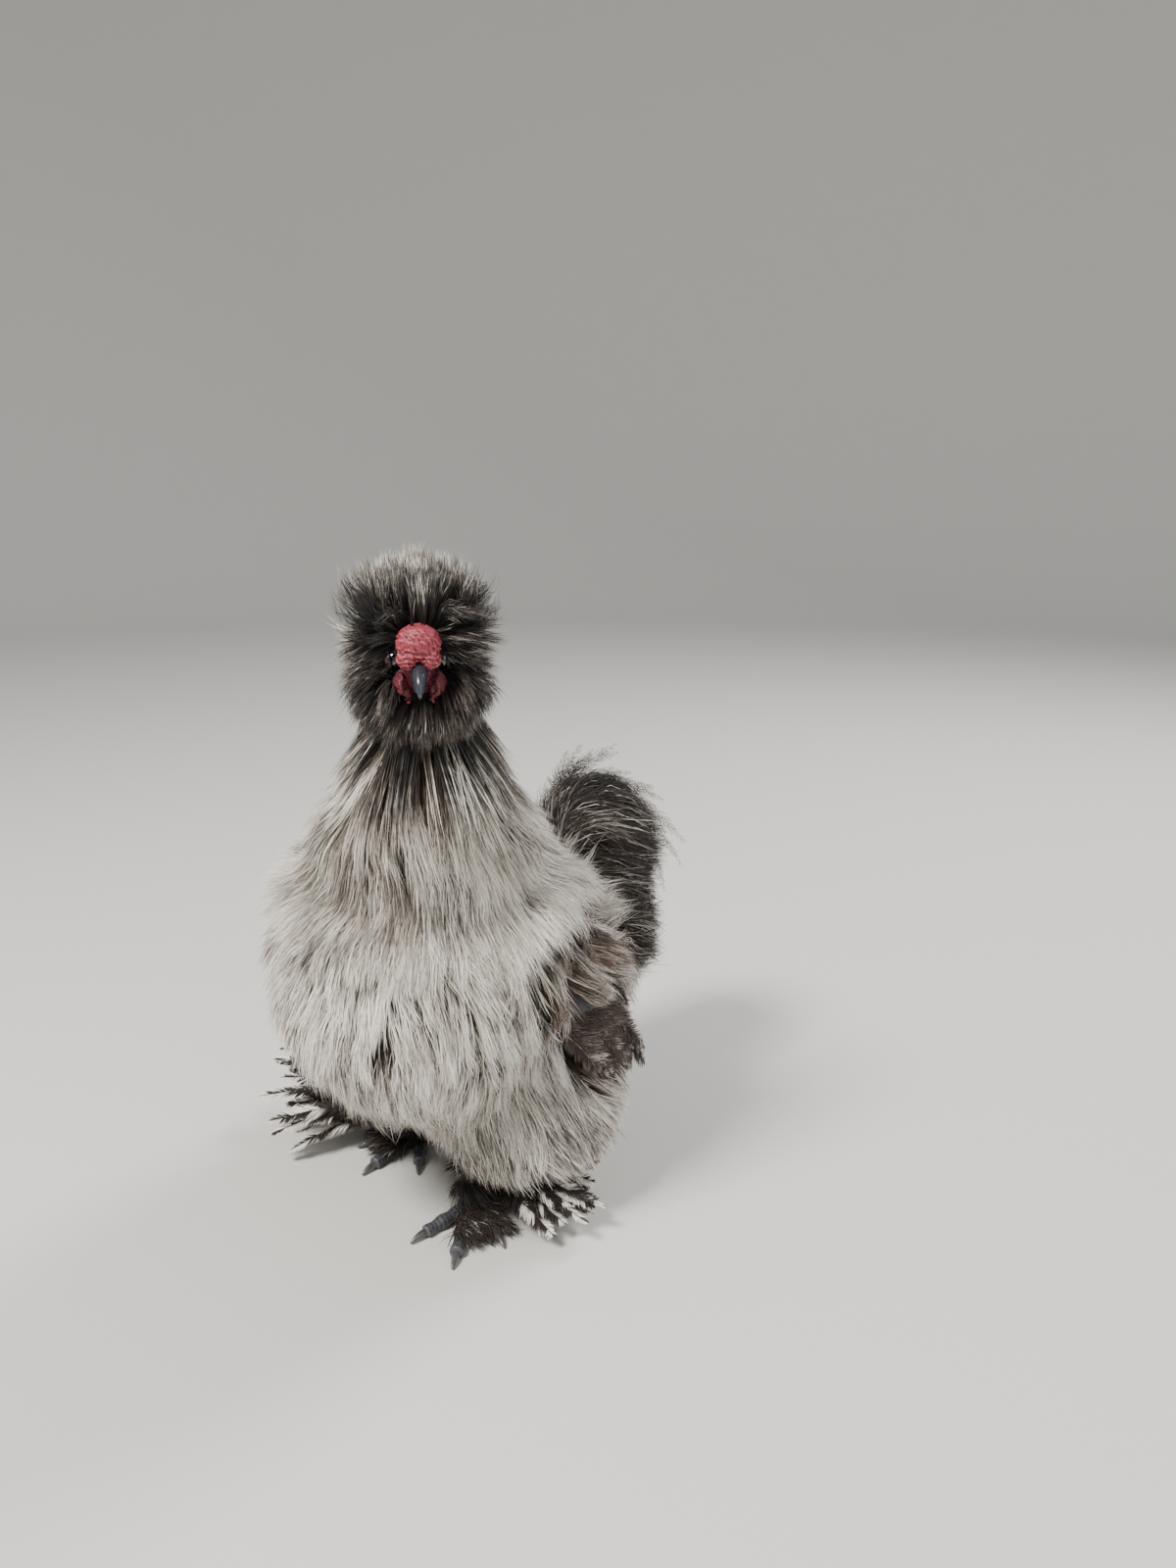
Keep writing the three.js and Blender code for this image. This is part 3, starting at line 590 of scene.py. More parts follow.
STRAND_LENGTHS, STRAND_WIDTHS, STRAND_ROLL = (0.6, 1.08), (0.6, 1.4), 0.5
ROOT_STRETCH, STRAY_UP, STRAY_CURVE = 1.3, 0.35, 1.6


# Strands round each guide: they start apart, clump towards the tip, and stray a little
def strands_on(paths, side, rng, look):
    guides, steps, _ = paths.shape
    owner = np.repeat(np.arange(guides), look["per_guide"])
    count = len(owner)
    path = paths[owner]
    heading = unit(path[:, 1] - path[:, 0])
    across = side[owner]
    normal = unit(np.cross(heading, across))
    angle = rng.uniform(0, 2 * math.pi, count)
    radius = look["spread"] * np.sqrt(rng.uniform(0, 1, count))
    offset = across * (radius * np.cos(angle))[:, None]
    offset = offset + heading * (radius * np.sin(angle) * ROOT_STRETCH)[:, None]
    drift = rng.normal(size=(count, 3)) * look["stray"]
    drift += normal * (rng.normal(size=count) * look["stray"] * STRAY_UP)[:, None]
    length = rng.uniform(*STRAND_LENGTHS, count)
    centres = []
    for ring in RINGS:
        t = np.clip(ring * length * (steps - 1), 0, steps - 1.0001)
        low = t.astype(int)
        k = (t - low)[:, None]
        at = path[np.arange(count), low] * (1 - k) + path[np.arange(count), low + 1] * k
        beyond = np.clip(ring * length - 1, 0, 1)[:, None]
        at = at + (path[:, -1] - path[:, -2]) * beyond * (steps - 1)
        at = at + offset * (1 - look["clump"] * ring) + drift * ring**STRAY_CURVE
        at[:, 2] -= look["gravity"] * ring**2
        centres.append(at)
    roll = rng.normal(size=count) * STRAND_ROLL
    face = unit(across * np.cos(roll)[:, None] + normal * np.sin(roll)[:, None])
    half = (look["width"] * rng.uniform(*STRAND_WIDTHS, count) / 2)[:, None]
    return ribbons(centres, face, half), owner


# Strands keep clear of the comb, the bill, the eyes and the red skin, in the head's frame
FACE_CLEAR = [([0, -18, 10], [11, 13, 12]), ([0, -26, -1], [6, 14, 8])]
for side_ in (1, -1):
    FACE_CLEAR += [([side_ * 11, -12, -1], [6, 15, 5]), ([side_ * 8, -18, -6], [3.4, 8, 4])]
# And of the quills that show below each wing
QUILL_CLEAR = [([side * 98, 0, 106], [17, 42, 25]) for side in (1, -1)]


def crossing(strands, zones):
    inside = [(((strands - at) / radii) ** 2).sum(2) < 1 for at, radii in zones]
    return np.any(inside, axis=(0, 2))


# What a coat has unless its own look says otherwise. Lengths are in mm.
COMMON_LOOK = dict(per_guide=12, clump=0.5, gravity=0.0, sway=0.3, pull=0.5, shade=0.1, under=[])
BURIED = -1.5
SWAY_SIZE, SWAY_JITTER = 45, 0.1
RUNS = (0.82, 1.15)
UV_JITTER = 0.004
# A guide has left its form if a step is longer than this share of its run and some mm
LONG_STEP, LONG_STEP_MORE = 0.4, 4


def grow_coat(name, form, seed, **own_look):
    look = {**COMMON_LOOK, **own_look}
    rng = np.random.default_rng(seed)
    roots, uv = form.roots(int(look["guides"] * DENSITY), rng)
    keep = np.ones(len(roots), bool)
    for other in look["under"]:
        keep &= other.field(roots) > BURIED
    if "only" in look:
        keep &= look["only"](roots)
    roots, uv = roots[keep], uv[keep]
    over = look.get("over", form)
    lie = look["lie"](roots)
    sway = look["sway"] * waves(roots, SWAY_SIZE, seed + 1)
    sway = sway + SWAY_JITTER * rng.normal(size=len(roots))
    normal = unit(over.slope(roots))
    lie = lie * np.cos(sway)[:, None] + np.cross(normal, lie) * np.sin(sway)[:, None]
    run = look["run"] * rng.uniform(*RUNS, len(roots))
    paths, side = guide_paths(over, roots, lie, run, look["rise"])
    longest = np.linalg.norm(np.diff(paths, axis=1), axis=2).max(1)
    even = longest < LONG_STEP * look["run"] + LONG_STEP_MORE
    roots, uv, paths, side = roots[even], uv[even], paths[even], side[even]
    paths, lock = gathered(paths, rng, look["locks"], look["pull"])
    strands, owner = strands_on(paths, side, rng, look)
    tone, warmth = look["mark"](roots)
    shade = look["shade"] * rng.normal(size=len(roots))
    tone = tone + shade[lock]
    own = rng.normal(size=len(owner)) * look["salt"]
    root_uv = uv[owner] + rng.normal(size=(len(owner), 2)) * UV_JITTER
    seen = ~crossing(strands, QUILL_CLEAR)
    if form.in_head:
        seen &= ~crossing(to_head(strands), FACE_CLEAR)
    owner, own = owner[seen], own[seen]
    coat_pieces(
        name, strands[seen], tone[owner] + own, warmth[owner], root_uv[seen], look["kind"],
        look.get("node", name),
    )


# Markings, from 0 for black to 1 for cream, and how brown

def streaks(points, seed, fine=9.0):
    return waves(points * [1, 1, 0.28], fine, seed)


def body_mark(roots):
    x, y, z = roots.T
    throat = smooth(1 - np.hypot((x - 22) / 36, (z - 226) / 40)) * (y < -20)
    back = smooth((y - 10) / 70) * smooth((z - 120) / 50)
    flank = smooth((-x - 20) / 40) * smooth((150 - z) / 60)
    breast = smooth(1 - np.hypot((x - 5) / 80, (z - 180) / 70)) * (y < 10)
    tone = 0.5 + 0.08 * waves(roots, 60, 5) + 0.17 * streaks(roots, 6) + 0.18 * breast
    tone += -0.26 * throat - 0.16 * back - 0.14 * flank - 0.12 * smooth((150 - z) / 80)
    return tone, 0.1 + 0.08 * waves(roots, 40, 8) + 0.22 * flank


def neck_mark(roots):
    x, y, z = roots.T
    front = smooth((-0.35 * (x - 20) - (y + 50)) / 30)
    front = front * smooth((z - 190) / 30) * smooth((320 - z) / 60)
    tone = 0.5 + 0.28 * streaks(roots, 16, 7.0) - 0.3 * front - 0.34 * smooth((z - 280) / 22)
    return tone, 0.12 + 0.12 * waves(roots, 30, 18)


def fluff_mark(roots):
    tone = 0.44 + 0.12 * waves(roots, 40, 25) + 0.14 * streaks(roots, 26)
    return tone, 0.15 + 0.1 * waves(roots, 30, 28)


def tail_mark(roots):
    return 0.16 + 0.14 * waves(roots, 24, 35), 0.15 + 0.2 * waves(roots, 30, 38)


def wing_mark(roots):
    patch = smooth(waves(roots, 26, 45))
    return 0.5 + 0.22 * streaks(roots, 46, 8.0) - 0.2 * patch, 0.15 + 0.6 * patch


def crest_mark(roots):
    local = to_head(roots)
    front = smooth((-local[:, 1] + 14) / 14) * smooth((26 - local[:, 2]) / 10)
    return 0.12 - 0.2 * front + 0.14 * waves(roots, 16, 57), 0.08 + 0.1 * waves(roots, 14, 58)


def beard_mark(roots):
    local = to_head(roots)
    outer = smooth((np.abs(local[:, 0]) - 8) / 14)
    return 0.08 * outer - 0.3, 0.2 + 0.2 * waves(roots, 14, 68)


def leg_mark(roots):
    return 0.16 + 0.1 * waves(roots, 12, 78), 0.3 + 0.2 * waves(roots, 14, 79)


def steady(direction):
    return lambda roots: np.tile(direction, (len(roots), 1))


# The breast falls straight down and swings to the left below, and the back sweeps to the tail
def torso_lie(roots):
    back = smooth((roots[:, 1:2] + 60) / 150)
    low = smooth((120 - roots[:, 2:3]) / 60)
    front = [0.1, 0.1, -1.0] + low * [0.35, 0.1, 0]
    return front * (1 - back) + back * [0, 0.85, -0.5]


# The wing's own fluff stops where its quills begin
def above_quills(roots):
    return (np.abs(roots[:, 0]) > 66) & ((roots[:, 2] > 140) | (roots[:, 1] > 42))


grow_coat(
    "torso", TORSO, 100, guides=7600, per_guide=13, spread=2.2, clump=0.55, stray=1.9, width=0.52,
    rise=14, run=33, locks=0.09, over=BODY, lie=torso_lie, mark=body_mark, kind="pale",
    under=[NECK, TAIL], salt=0.3, shade=0.14,
)
grow_coat(
    "neck", NECK, 110, guides=3600, per_guide=13, spread=2.1, clump=0.6, stray=1.7, width=0.5,
    rise=14, run=54, locks=0.12, over=SHOULDERS, lie=steady([0, 0.3, -1]), mark=neck_mark,
    kind="pale", under=[BEARD, CREST], salt=0.2, shade=0.2,
)
grow_coat(
    "tail", TAIL, 120, guides=2100, spread=2.2, stray=3.7, width=0.44, rise=16, run=46, locks=0.15,
    lie=lambda roots: TAIL.round_lie(roots, (0.3, 0, -0.5)), mark=tail_mark, kind="dark",
    under=[TORSO], sway=0.5, gravity=11.0, salt=0.3,
)
grow_coat(
    "crest", CREST, 130, guides=1500, spread=1.5, stray=1.5, width=0.4, rise=19, run=14,
    locks=0.14, pull=0.6, sway=0.12, lie=CREST.round_lie, mark=crest_mark, kind="head", salt=0.2,
    shade=0.2,
)
grow_coat(
    "beard", BEARD, 140, guides=1000, spread=1.6, stray=1.6, width=0.42, rise=13, run=14,
    locks=0.16, lie=lambda roots: BEARD.round_lie(roots, (0, 0, -0.3)), mark=beard_mark,
    kind="head", under=[SKULL], salt=0.24,
)
for seed_, (name_, side_) in zip((150, 180), SIDES.items()):
    grow_coat(
        f"thigh_{name_}", THIGH[name_], seed_, guides=1300, per_guide=13, spread=2.6, stray=2.8,
        width=0.58, rise=15, run=38, locks=0.12, over=THIGH[name_].with_forms(TORSO),
        lie=steady([0.25 * side_, 0.2, -1]), mark=fluff_mark, kind="grey", under=[TORSO],
        salt=0.28, shade=0.14,
    )
    grow_coat(
        f"wing_{name_}", WING[name_], seed_ + 10, guides=1000, spread=2.2, clump=0.6, stray=1.6,
        width=0.52, rise=10, run=28, locks=0.08, over=WING[name_].with_forms(TORSO),
        lie=steady([0, 0.62, -0.78]), mark=wing_mark, kind="wing", under=[NECK],
        only=above_quills, salt=0.18, shade=0.14,
    )
    grow_coat(
        f"leg_{name_}", LEG[name_], seed_ + 20, node=f"shank_{name_}", guides=700, spread=2.0,
        stray=2.2, width=0.55, rise=12, run=20, locks=0.2, lie=steady([0.35 * side_, 0.25, -1]),
        mark=leg_mark, kind="dark", salt=0.14,
    )


# Feathers: a quill with barbs along both sides, loose and hair-like as a silkie's are

VANE_SPAN, VANE_STEP, FEWEST_BARBS = (0.1, 0.98), 0.02, 8
BARB_REACHES, BARB_LEANS = (0.75, 1.2), (0.8, 1.2)
BARB_SWEEP, BARB_TWIST, BARB_SALT = 0.25, 0.3, 0.06
QUILL_PIECES, QUILL_OVERLAP, QUILL_TAPER = 6, 1.15, 0.7
QUILL_LIFT, QUILL_BROWN = 0.25, 0.2


def feathers(name, specs, kind, node, seed):
    specs = list(specs)
    rng = np.random.default_rng(seed)
    strands, tones, warmths, uvs = [], [], [], []
    for index, spec in enumerate(specs):
        barbs = max(FEWEST_BARBS, int(spec["barbs"] * DENSITY))
        s = np.concatenate([np.linspace(*VANE_SPAN, barbs)] * 2)
        way = np.repeat([-1.0, 1.0], barbs)
        path = spec["path"]
        root = spline(path, s)
        tangent = unit(spline(path, s + VANE_STEP) - spline(path, s - VANE_STEP))
        side = unit(np.cross(spec["normal"], tangent))
        normal = np.cross(tangent, side)
        taper = np.sin(np.pi * s**0.8) ** 0.5 * (1 - 0.25 * s)
        reach = spec["width"] / 2 * taper * rng.uniform(*BARB_REACHES, len(s))
        lean = spec["lean"] * rng.uniform(*BARB_LEANS, len(s))
        out = side * (way * np.cos(lean))[:, None] + tangent * np.sin(lean)[:, None]
        curl = normal * (rng.normal(size=len(s)) * spec["ragged"])[:, None] + tangent * BARB_SWEEP
        centres = []
        for ring in RINGS:
            at = root + out * (reach * ring / np.cos(lean))[:, None]
            at = at + curl * (reach * ring**2)[:, None]
            sunk = at[:, 2] - spec["droop"] * reach * ring**2
            at[:, 2] = np.maximum(sunk, FLOOR_CLEAR + 0.2)
            centres.append(at)
        face = unit(tangent + normal * rng.normal(size=(len(s), 1)) * BARB_TWIST)
        strands.append(ribbons(centres, face, spec["barb_width"] / 2))
        pale, brown = spec["mark"](s, way)
        tones.append(pale + rng.normal(size=len(s)) * BARB_SALT)
        warmths.append(np.broadcast_to(brown, len(s)))
        uvs.append(np.stack([(index + 0.5 + 0.3 * way) / len(specs), s], 1))
        for i in range(QUILL_PIECES):
            middles = spline(path, (i + RINGS * QUILL_OVERLAP) / QUILL_PIECES)
            raised = [at[None] + normal[:1] * QUILL_LIFT for at in middles]
            half = spec["quill"] * (1 - QUILL_TAPER * i / QUILL_PIECES)
            strands.append(ribbons(raised, side[:1], half))
            tones.append([pale[0] + spec["quill_tone"]])
            warmths.append([QUILL_BROWN])
            uvs.append([[(index + 0.5) / len(specs), (i + 0.5) / QUILL_PIECES]])
    coat_pieces(
        name, np.vstack(strands), np.concatenate(tones), np.concatenate(warmths), np.vstack(uvs),
        kind, node,
    )


# Foot feathers: black, with white patches near their ends
def foot_vane_mark(rng):
    start, patches = rng.uniform(0.3, 0.7), rng.uniform(0, ANY_PHASE)
    white = rng.uniform() < 0.75

    def mark(s, way):
        patch = smooth((np.sin(s * 15 + patches + way * 1.1) + 0.35) * 2)
        patch = patch * smooth((s - start) / 0.15) * white
        return 0.12 + 0.84 * patch, 0.25 * (1 - patch)

    return mark


FOOT_FEATHERS = 44
# Where they start, their heading in degrees, their reach and how high the last one ends
FOOT_FANS = {
    "left": ([[31, -8, 30], [34, -11, 18], [37, -13, 8]], 14, 66, 16),
    "right": ([[-51, 48, 32], [-54, 47, 20], [-56, 45, 9]], 6, 90, 44),
}


def foot_feathers(name, side):
    pad, heading, reach, lift = FOOT_FANS[name]
    rng = np.random.default_rng(31 + side)
    for i in range(FOOT_FEATHERS):
        level = i / (FOOT_FEATHERS - 1)
        turn = math.radians(side * heading + rng.uniform(-1, 1) * (56 - 30 * level))
        away = np.array([side * math.cos(turn), math.sin(turn), 0])
        start = spline(pad, [np.clip(0.9 - 0.7 * level + rng.uniform(-0.1, 0.1), 0, 1)])[0]
        long = reach * (0.8 + 0.3 * level) * rng.uniform(0.72, 1.05)
        end = start + away * long
        end[2] = 4 + lift * level + rng.uniform(0, 4)
        via = (start + end) / 2 + [0, 0, 5 + rng.uniform(0, 3)]
        yield dict(
            path=[start, via, end], normal=[0, 0, 1.0] + rng.normal(size=3) * 0.25,
            width=rng.uniform(16, 22), barbs=int(long * 1.3), barb_width=1.1, lean=0.62,
            ragged=0.14, droop=0.08, quill=0.55, quill_tone=0.25, mark=foot_vane_mark(rng),
        )


# Wing quills in two tiers, dark with pale marks along one edge
def wing_vane_mark(tone):
    def mark(s, way):
        edge = 0.34 * (way > 0) * smooth((s - 0.3) / 0.3) * smooth(np.sin(21 * s) + 0.6)
        return tone + edge, 0.2

    return mark


# Each tier's quills, first start, way to the last start, reach and tone
WING_TIERS = [
    (15, [77, -30, 134], [8, 58, -8], [15, 36, -44], 0.12),
    (12, [84, -4, 116], [2, 46, -6], [10, 34, -46], 0.0),
]


def wing_quills(side):
    rng = np.random.default_rng(51 + side)
    for count, start, step, reach, tone in WING_TIERS:
        for i in range(count):
            share = i / (count - 1)
            a = start + share * np.array(step)
            b = a + np.array(reach) * rng.uniform(0.88, 1.12) + rng.normal(size=3) * 1.5
            via = (a + b) / 2 + [4, 0, 0]
            a, b, via = (p * [side, 1, 1] for p in (a, b, via))
            yield dict(
                path=[a, via, b], normal=[0.8 * side, -0.6 * (1 - share), 0.2],
                width=15, barbs=60, barb_width=0.9, lean=0.8, ragged=0.12, droop=0.1, quill=0.5,
                quill_tone=0.2, mark=wing_vane_mark(tone + rng.uniform(-0.08, 0.12)),
            )


TAIL_PLUMES = 30
TAIL_ROOT = [33.0, 132, 192]


# Tail plumes: ragged black feathers that fan up and over, and hang at the outer edge
def tail_plumes():
    rng = np.random.default_rng(71)

    def mark(s, way):
        return 0.1 + 0.2 * smooth((s - 0.75) / 0.3), 0.25

    for i in range(TAIL_PLUMES):
        share = i / (TAIL_PLUMES - 1)
        lean = math.radians(-22 + 156 * share + rng.normal() * 4)
        reach = (50 + 26 * share**2) * rng.uniform(0.85, 1.1)
        depth = rng.uniform(-0.05, 0.5)

        def out(angle, far):
            return TAIL_ROOT + np.array([math.sin(angle), depth, math.cos(angle)]) * far

        yield dict(
            path=[out(lean - 0.2, 4), out(lean - 0.45, reach * 0.62), out(lean + 0.1, reach)],
            normal=[0.1, 1, 0.1] + rng.normal(size=3) * 0.3, width=11, barbs=34,
            barb_width=0.55, lean=0.95, ragged=0.5, droop=0.35, quill=0.35, quill_tone=0.0,
            mark=mark,
        )


for name_, side_ in SIDES.items():
    feet = foot_feathers(name_, side_)
    feathers(f"foot_{name_}", feet, "dark", f"foot_feathers_{name_}", 41 + side_)
    feathers(f"quills_{name_}", wing_quills(side_), "wing", f"wing_{name_}", 61 + side_)
feathers("tail_plumes", tail_plumes(), "dark", "tail", 72)


# Legs: toes, scutes and claws

# Each toe's turn in degrees, length, radius and rise: outer, middle, inner, back and fifth
TOES = [(38, 31, 4.2, 0), (2, 44, 4.5, 0), (-36, 34, 4.2, 0), (158, 20, 3.8, 0), (128, 24, 3.6, 15)]
CLAW_LENGTH, CLAW_RADIUS, CLAW_TIP_HIGH, FIFTH_CLAW_RISE = 11, 2.1, 1.2, 4
SHANK_RADII = ([0, 0.25, 0.5, 0.75, 1], [8.6, 6.8, 5.6, 5.2, 6.2])
SHANKS = {
    "left": [[31, 2, 62], [27, -5, 36], [23, -15, 12]],
    "right": [[-44, 40, 62], [-43, 46, 36], [-42, 47, 12]],
}


def toe_way(name, turn):
    angle = SIDES[name] * math.radians(12 + turn)
    return np.array([math.sin(angle), -math.cos(angle), 0])


def toe_path(name, toe, shares):
    turn, long, radius, rise = toe
    way = toe_way(name, turn)
    base = SOLE[name]
    low = radius * 0.8
    return spline([
        base + [0, 0, low + 1 + rise * 0.3],
        base + way * long * 0.5 + [0, 0, low + 0.8 + rise * 0.55],
        base + way * long + [0, 0, low + rise],
    ], shares)


# Joints swell along the toe
def toe_radii(toe, shares):
    radius = toe[2]
    knuckles = 0.1 * np.cos(2 * math.pi * shares * (3 if toe[1] > 30 else 2))
    return radius * (0.97 - 0.2 * shares**2 + knuckles)


def leg_solids(name):
    shares = np.linspace(0, 1, 25)
    shank = tube(spline(SHANKS[name], shares), np.interp(shares, *SHANK_RADII))
    pad = ellipsoid(SOLE[name] + [0, -1, 6], [8, 10.5, 6])
    toes = [tube(toe_path(name, toe, shares), toe_radii(toe, shares)) for toe in TOES]
    return [shank, pad, *toes]


SHANK_PITCH, TOE_PITCH = 3.6, 2.6


# Scutes: plates raised round the shank and each toe, with a groove after each
def scutes(name, points):
    paths = [(spline(SHANKS[name], np.linspace(0, 1, 120)), SHANK_PITCH)]
    paths += [(toe_path(name, toe, np.linspace(0.15, 1, 120)), TOE_PITCH) for toe in TOES]
    phases = []
    for path, pitch in paths:
        steps = np.linalg.norm(np.diff(path, axis=0), axis=1)
        phases.append(np.concatenate([[0], np.cumsum(steps)]) / pitch % 1.0)
    phase = np.concatenate(phases)[nearest(points, np.vstack([path for path, _ in paths]))]
    return 0.32 * (1 - phase) ** 0.5 - 0.1 - 0.28 * (phase > 0.9)


def make_claws(name):
    solids = []
    for toe in TOES:
        way = toe_way(name, toe[0])
        end = toe_path(name, toe, [1.0])[0]
        low = end[2] + FIFTH_CLAW_RISE if toe[3] else CLAW_TIP_HIGH
        shares = np.linspace(0, 1, 22)
        middle = end + way * CLAW_LENGTH * 0.5
        point = end + way * CLAW_LENGTH
        middle[2] = (end[2] + low) / 2 + 0.9
        point[2] = low
        radii = CLAW_RADIUS * (1 - shares) ** 0.55 + 0.25
        solids.append(tube(spline([end - way, middle, point], shares), radii, 18))
    points, faces = stacked(solids)
    points[:, 2] = np.maximum(points[:, 2], 0.3)
    obj = mesh_object(f"claws_{name}", place(points), faces)
    replaced = [f"claw_{name}_{i + 1}" for i in range(len(TOES))]
    finish_piece(obj, materials["horn"], replaced)


# Toes with fluff: how many strands, and how far along the toe they go
FLUFFY_TOES = [(TOES[0], 1500, 0.85), (TOES[1], 1500, 0.72), (TOES[3], 500, 0.6)]
FLUFF_ROUND, FLUFF_FALL = 1.2, 7


# Short dark fluff on the outer, the middle and the back toe
def toe_fluff(name):
    side = SIDES[name]
    rng = np.random.default_rng(81 + side)
    roots, headings, uvs = [], [], []
    for number, (toe, many, most) in enumerate(FLUFFY_TOES):
        count = int(many * DENSITY)
        shares = rng.uniform(0, most, count)
        way = toe_way(name, toe[0])
        across = np.array([-way[1], way[0], 0])
        around = rng.uniform(-FLUFF_ROUND, FLUFF_ROUND, count)
        out = across * np.sin(around)[:, None] + [0, 0, 1.0] * np.cos(around)[:, None]
        roots.append(toe_path(name, toe, shares) + out * toe[2] * 0.8)
        heading = out * 0.6 + way * 0.5 + [side * 0.7, 0, 0]
        headings.append(unit(heading + rng.normal(size=(count, 3)) * 0.25))
        place_round = (around + FLUFF_ROUND) / (2 * FLUFF_ROUND)
        uvs.append(np.stack([(number + place_round) / len(FLUFFY_TOES), shares], 1))
    roots, headings, uvs = np.vstack(roots), np.vstack(headings), np.vstack(uvs)
    long = rng.uniform(9, 17, len(roots))[:, None]
    centres = []
    for ring in RINGS:
        at = roots + headings * long * ring
        at[:, 2] = np.maximum(at[:, 2] - FLUFF_FALL * ring**2, FLOOR_CLEAR + 0.3)
        centres.append(at)
    face = unit(np.cross(headings, rng.normal(size=headings.shape)))
    tone = 0.15 + 0.12 * rng.normal(size=len(roots))
    tone = tone + 0.5 * (rng.uniform(size=len(roots)) < 0.1)
    strands = ribbons(centres, face, 0.3)
    brown = np.full(len(roots), 0.3)
    coat_pieces(f"toes_{name}", strands, tone, brown, uvs, "dark", f"foot_{name}")


# Head: comb, bill, eyes, and bare red skin

# Sections of the bill: how far forward, half the width, the top and the bottom
BILL_UPPER = [
    [11, 4.3, 6.2, -2.4], [18, 3.8, 5.6, -2.4], [24, 3.0, 4.0, -2.8],
    [28.5, 2.0, 1.2, -3.8], [31.4, 0.8, -2.8, -5.2],
]
BILL_LOWER = [
    [11, 3.9, -3.0, -7.5], [19, 3.1, -3.1, -7.0], [24.5, 2.1, -3.7, -6.2], [27.2, 0.7, -4.5, -5.5],
]


def squared(wave, power):
    return np.sign(wave) * np.abs(wave) ** power


def make_bill(name, sections, tip):
    shares = np.linspace(0, 1, 60)
    forward, half, top, bottom = spline(sections, shares).T
    turn = whole_turn(44)
    across = squared(np.cos(turn), 0.85)
    high = squared(np.sin(turn), 0.8)
    middle, tall = (top + bottom) / 2, (top - bottom) / 2
    upper = name == "bill_upper"
    rings = np.stack([
        half[:, None] * across * (1 - 0.25 * np.clip(high, 0, 1) ** 2 * upper),
        -forward[:, None] * np.ones(len(turn)),
        middle[:, None] + tall[:, None] * high,
    ], 2)
    if upper:
        for s in (-1, 1):
            pit = bump_at(rings, [s * 3.6, -18.3, 2.6], [1.6, 1.5, 0.8])
            hood = bump_at(rings, [s * 3.4, -17.6, 4.0], [1.6, 2.4, 1.0])
            rings[..., 0] += s * (0.45 * hood - 1.3 * pit)
    points, faces = lofted(rings, [0, -sections[0][0] + 0.6, middle[0]], tip)
    obj = mesh_object(name, place(from_head(points)), faces[:, ::-1])
    finish_piece(obj, materials["bill"], [name])


EYE_RADIUS, EYE_OUT = 5.2, 10.6


def make_eye(name):
    side = SIDES[name]
    points, faces = ellipsoid([0, 0, 0], EYE_RADIUS, 48, 32)
    out = unit(points)
    spread = np.arccos(np.clip(out @ unit([side, -0.25, 0.0]), -1, 1))
    cornea = 0.35 * np.exp(-((spread / 0.5) ** 2))
    points = points + out * cornea[:, None]
    obj = mesh_object(f"eyeball_{name}", place(from_head(points + [side * EYE_OUT, 0, 0])), faces)
    colour_attribute(obj, "eye", spread / math.pi, 0, 0)
    finish_piece(obj, materials["eye"], [f"eye_{name}"])


# A ring of skin round the eye, thicker above
def lid(side):
    parts = []
    for angle in whole_turn(40):
        out = side * (13.3 - 0.5 * math.cos(2 * angle))
        thick = 1.05 + 0.3 * max(0, math.sin(angle))
        centre = [out, 4.9 * math.cos(angle), 4.0 * math.sin(angle)]
        parts.append(ellipsoid(centre, thick, 10, 8))
    return parts


# Each lobe's middle and radii
COMB = [
    ([0, -12.3, 12.8], [9.9, 8.6, 8.4]),
    ([4.9, -16.3, 7.2], [4.7, 4.8, 4.8]),
    ([-4.9, -16.3, 7.2], [4.7, 4.8, 4.8]),
]
SKULL_THINNER = (0.2, 2.4, 1)
FACE_GRAINS, WATTLE_GRAINS = 90, 26


# The skull and the comb, then each side's lid, red face and wattle with their grains
def head_solids(rng):
    solids = [
        ellipsoid(at, radii - thinner, 40, 28)
        for at, radii, thinner in zip(SKULL.at, SKULL.radii, SKULL_THINNER)
    ]
    solids += [ellipsoid(at, radii, 48, 32) for at, radii in COMB]
    for side in (-1, 1):
        solids += lid(side)
        solids.append(ellipsoid([side * 8.4, -9.5, -6.5], [2.6, 6.2, 4.2]))
        solids.append(ellipsoid([side * 5.6, -12, -10.4], [1.3, 2.4, 4.4]))
        for _ in range(FACE_GRAINS):
            angle, share = rng.uniform(0, 2 * math.pi), math.sqrt(rng.uniform())
            y, z = -11 + 7 * share * math.cos(angle), -6.5 + 5 * share * math.sin(angle)
            size = rng.uniform(0.7, 1.5)
            solids.append(ellipsoid([side * (10.8 - 3.2 * share**2), y, z], size, 8, 6))
        for _ in range(WATTLE_GRAINS):
            z = rng.uniform(-14.5, -8)
            size = rng.uniform(0.6, 1.0)
            lobe = [side * (5.8 + rng.uniform(-1.2, 1.2)), -13 + 1.4 * rng.normal(), z]
            solids.append(ellipsoid(lobe, size, 8, 6))
    return solids


# How much a head point belongs to the comb and to the red face
def red_parts(local):
    lobes = [1.9 - np.linalg.norm((local - at) / radii, axis=1) for at, radii in COMB]
    cheeks = [bump_at(local, [s * 7, -13.5, -7.5], [6.5, 8.5, 9]) for s in (-1, 1)]
    comb, face = np.max(lobes, axis=0), np.max(cheeks, axis=0)
    return smooth((comb - 0.78) / 0.08), smooth((face - 0.3) / 0.3)


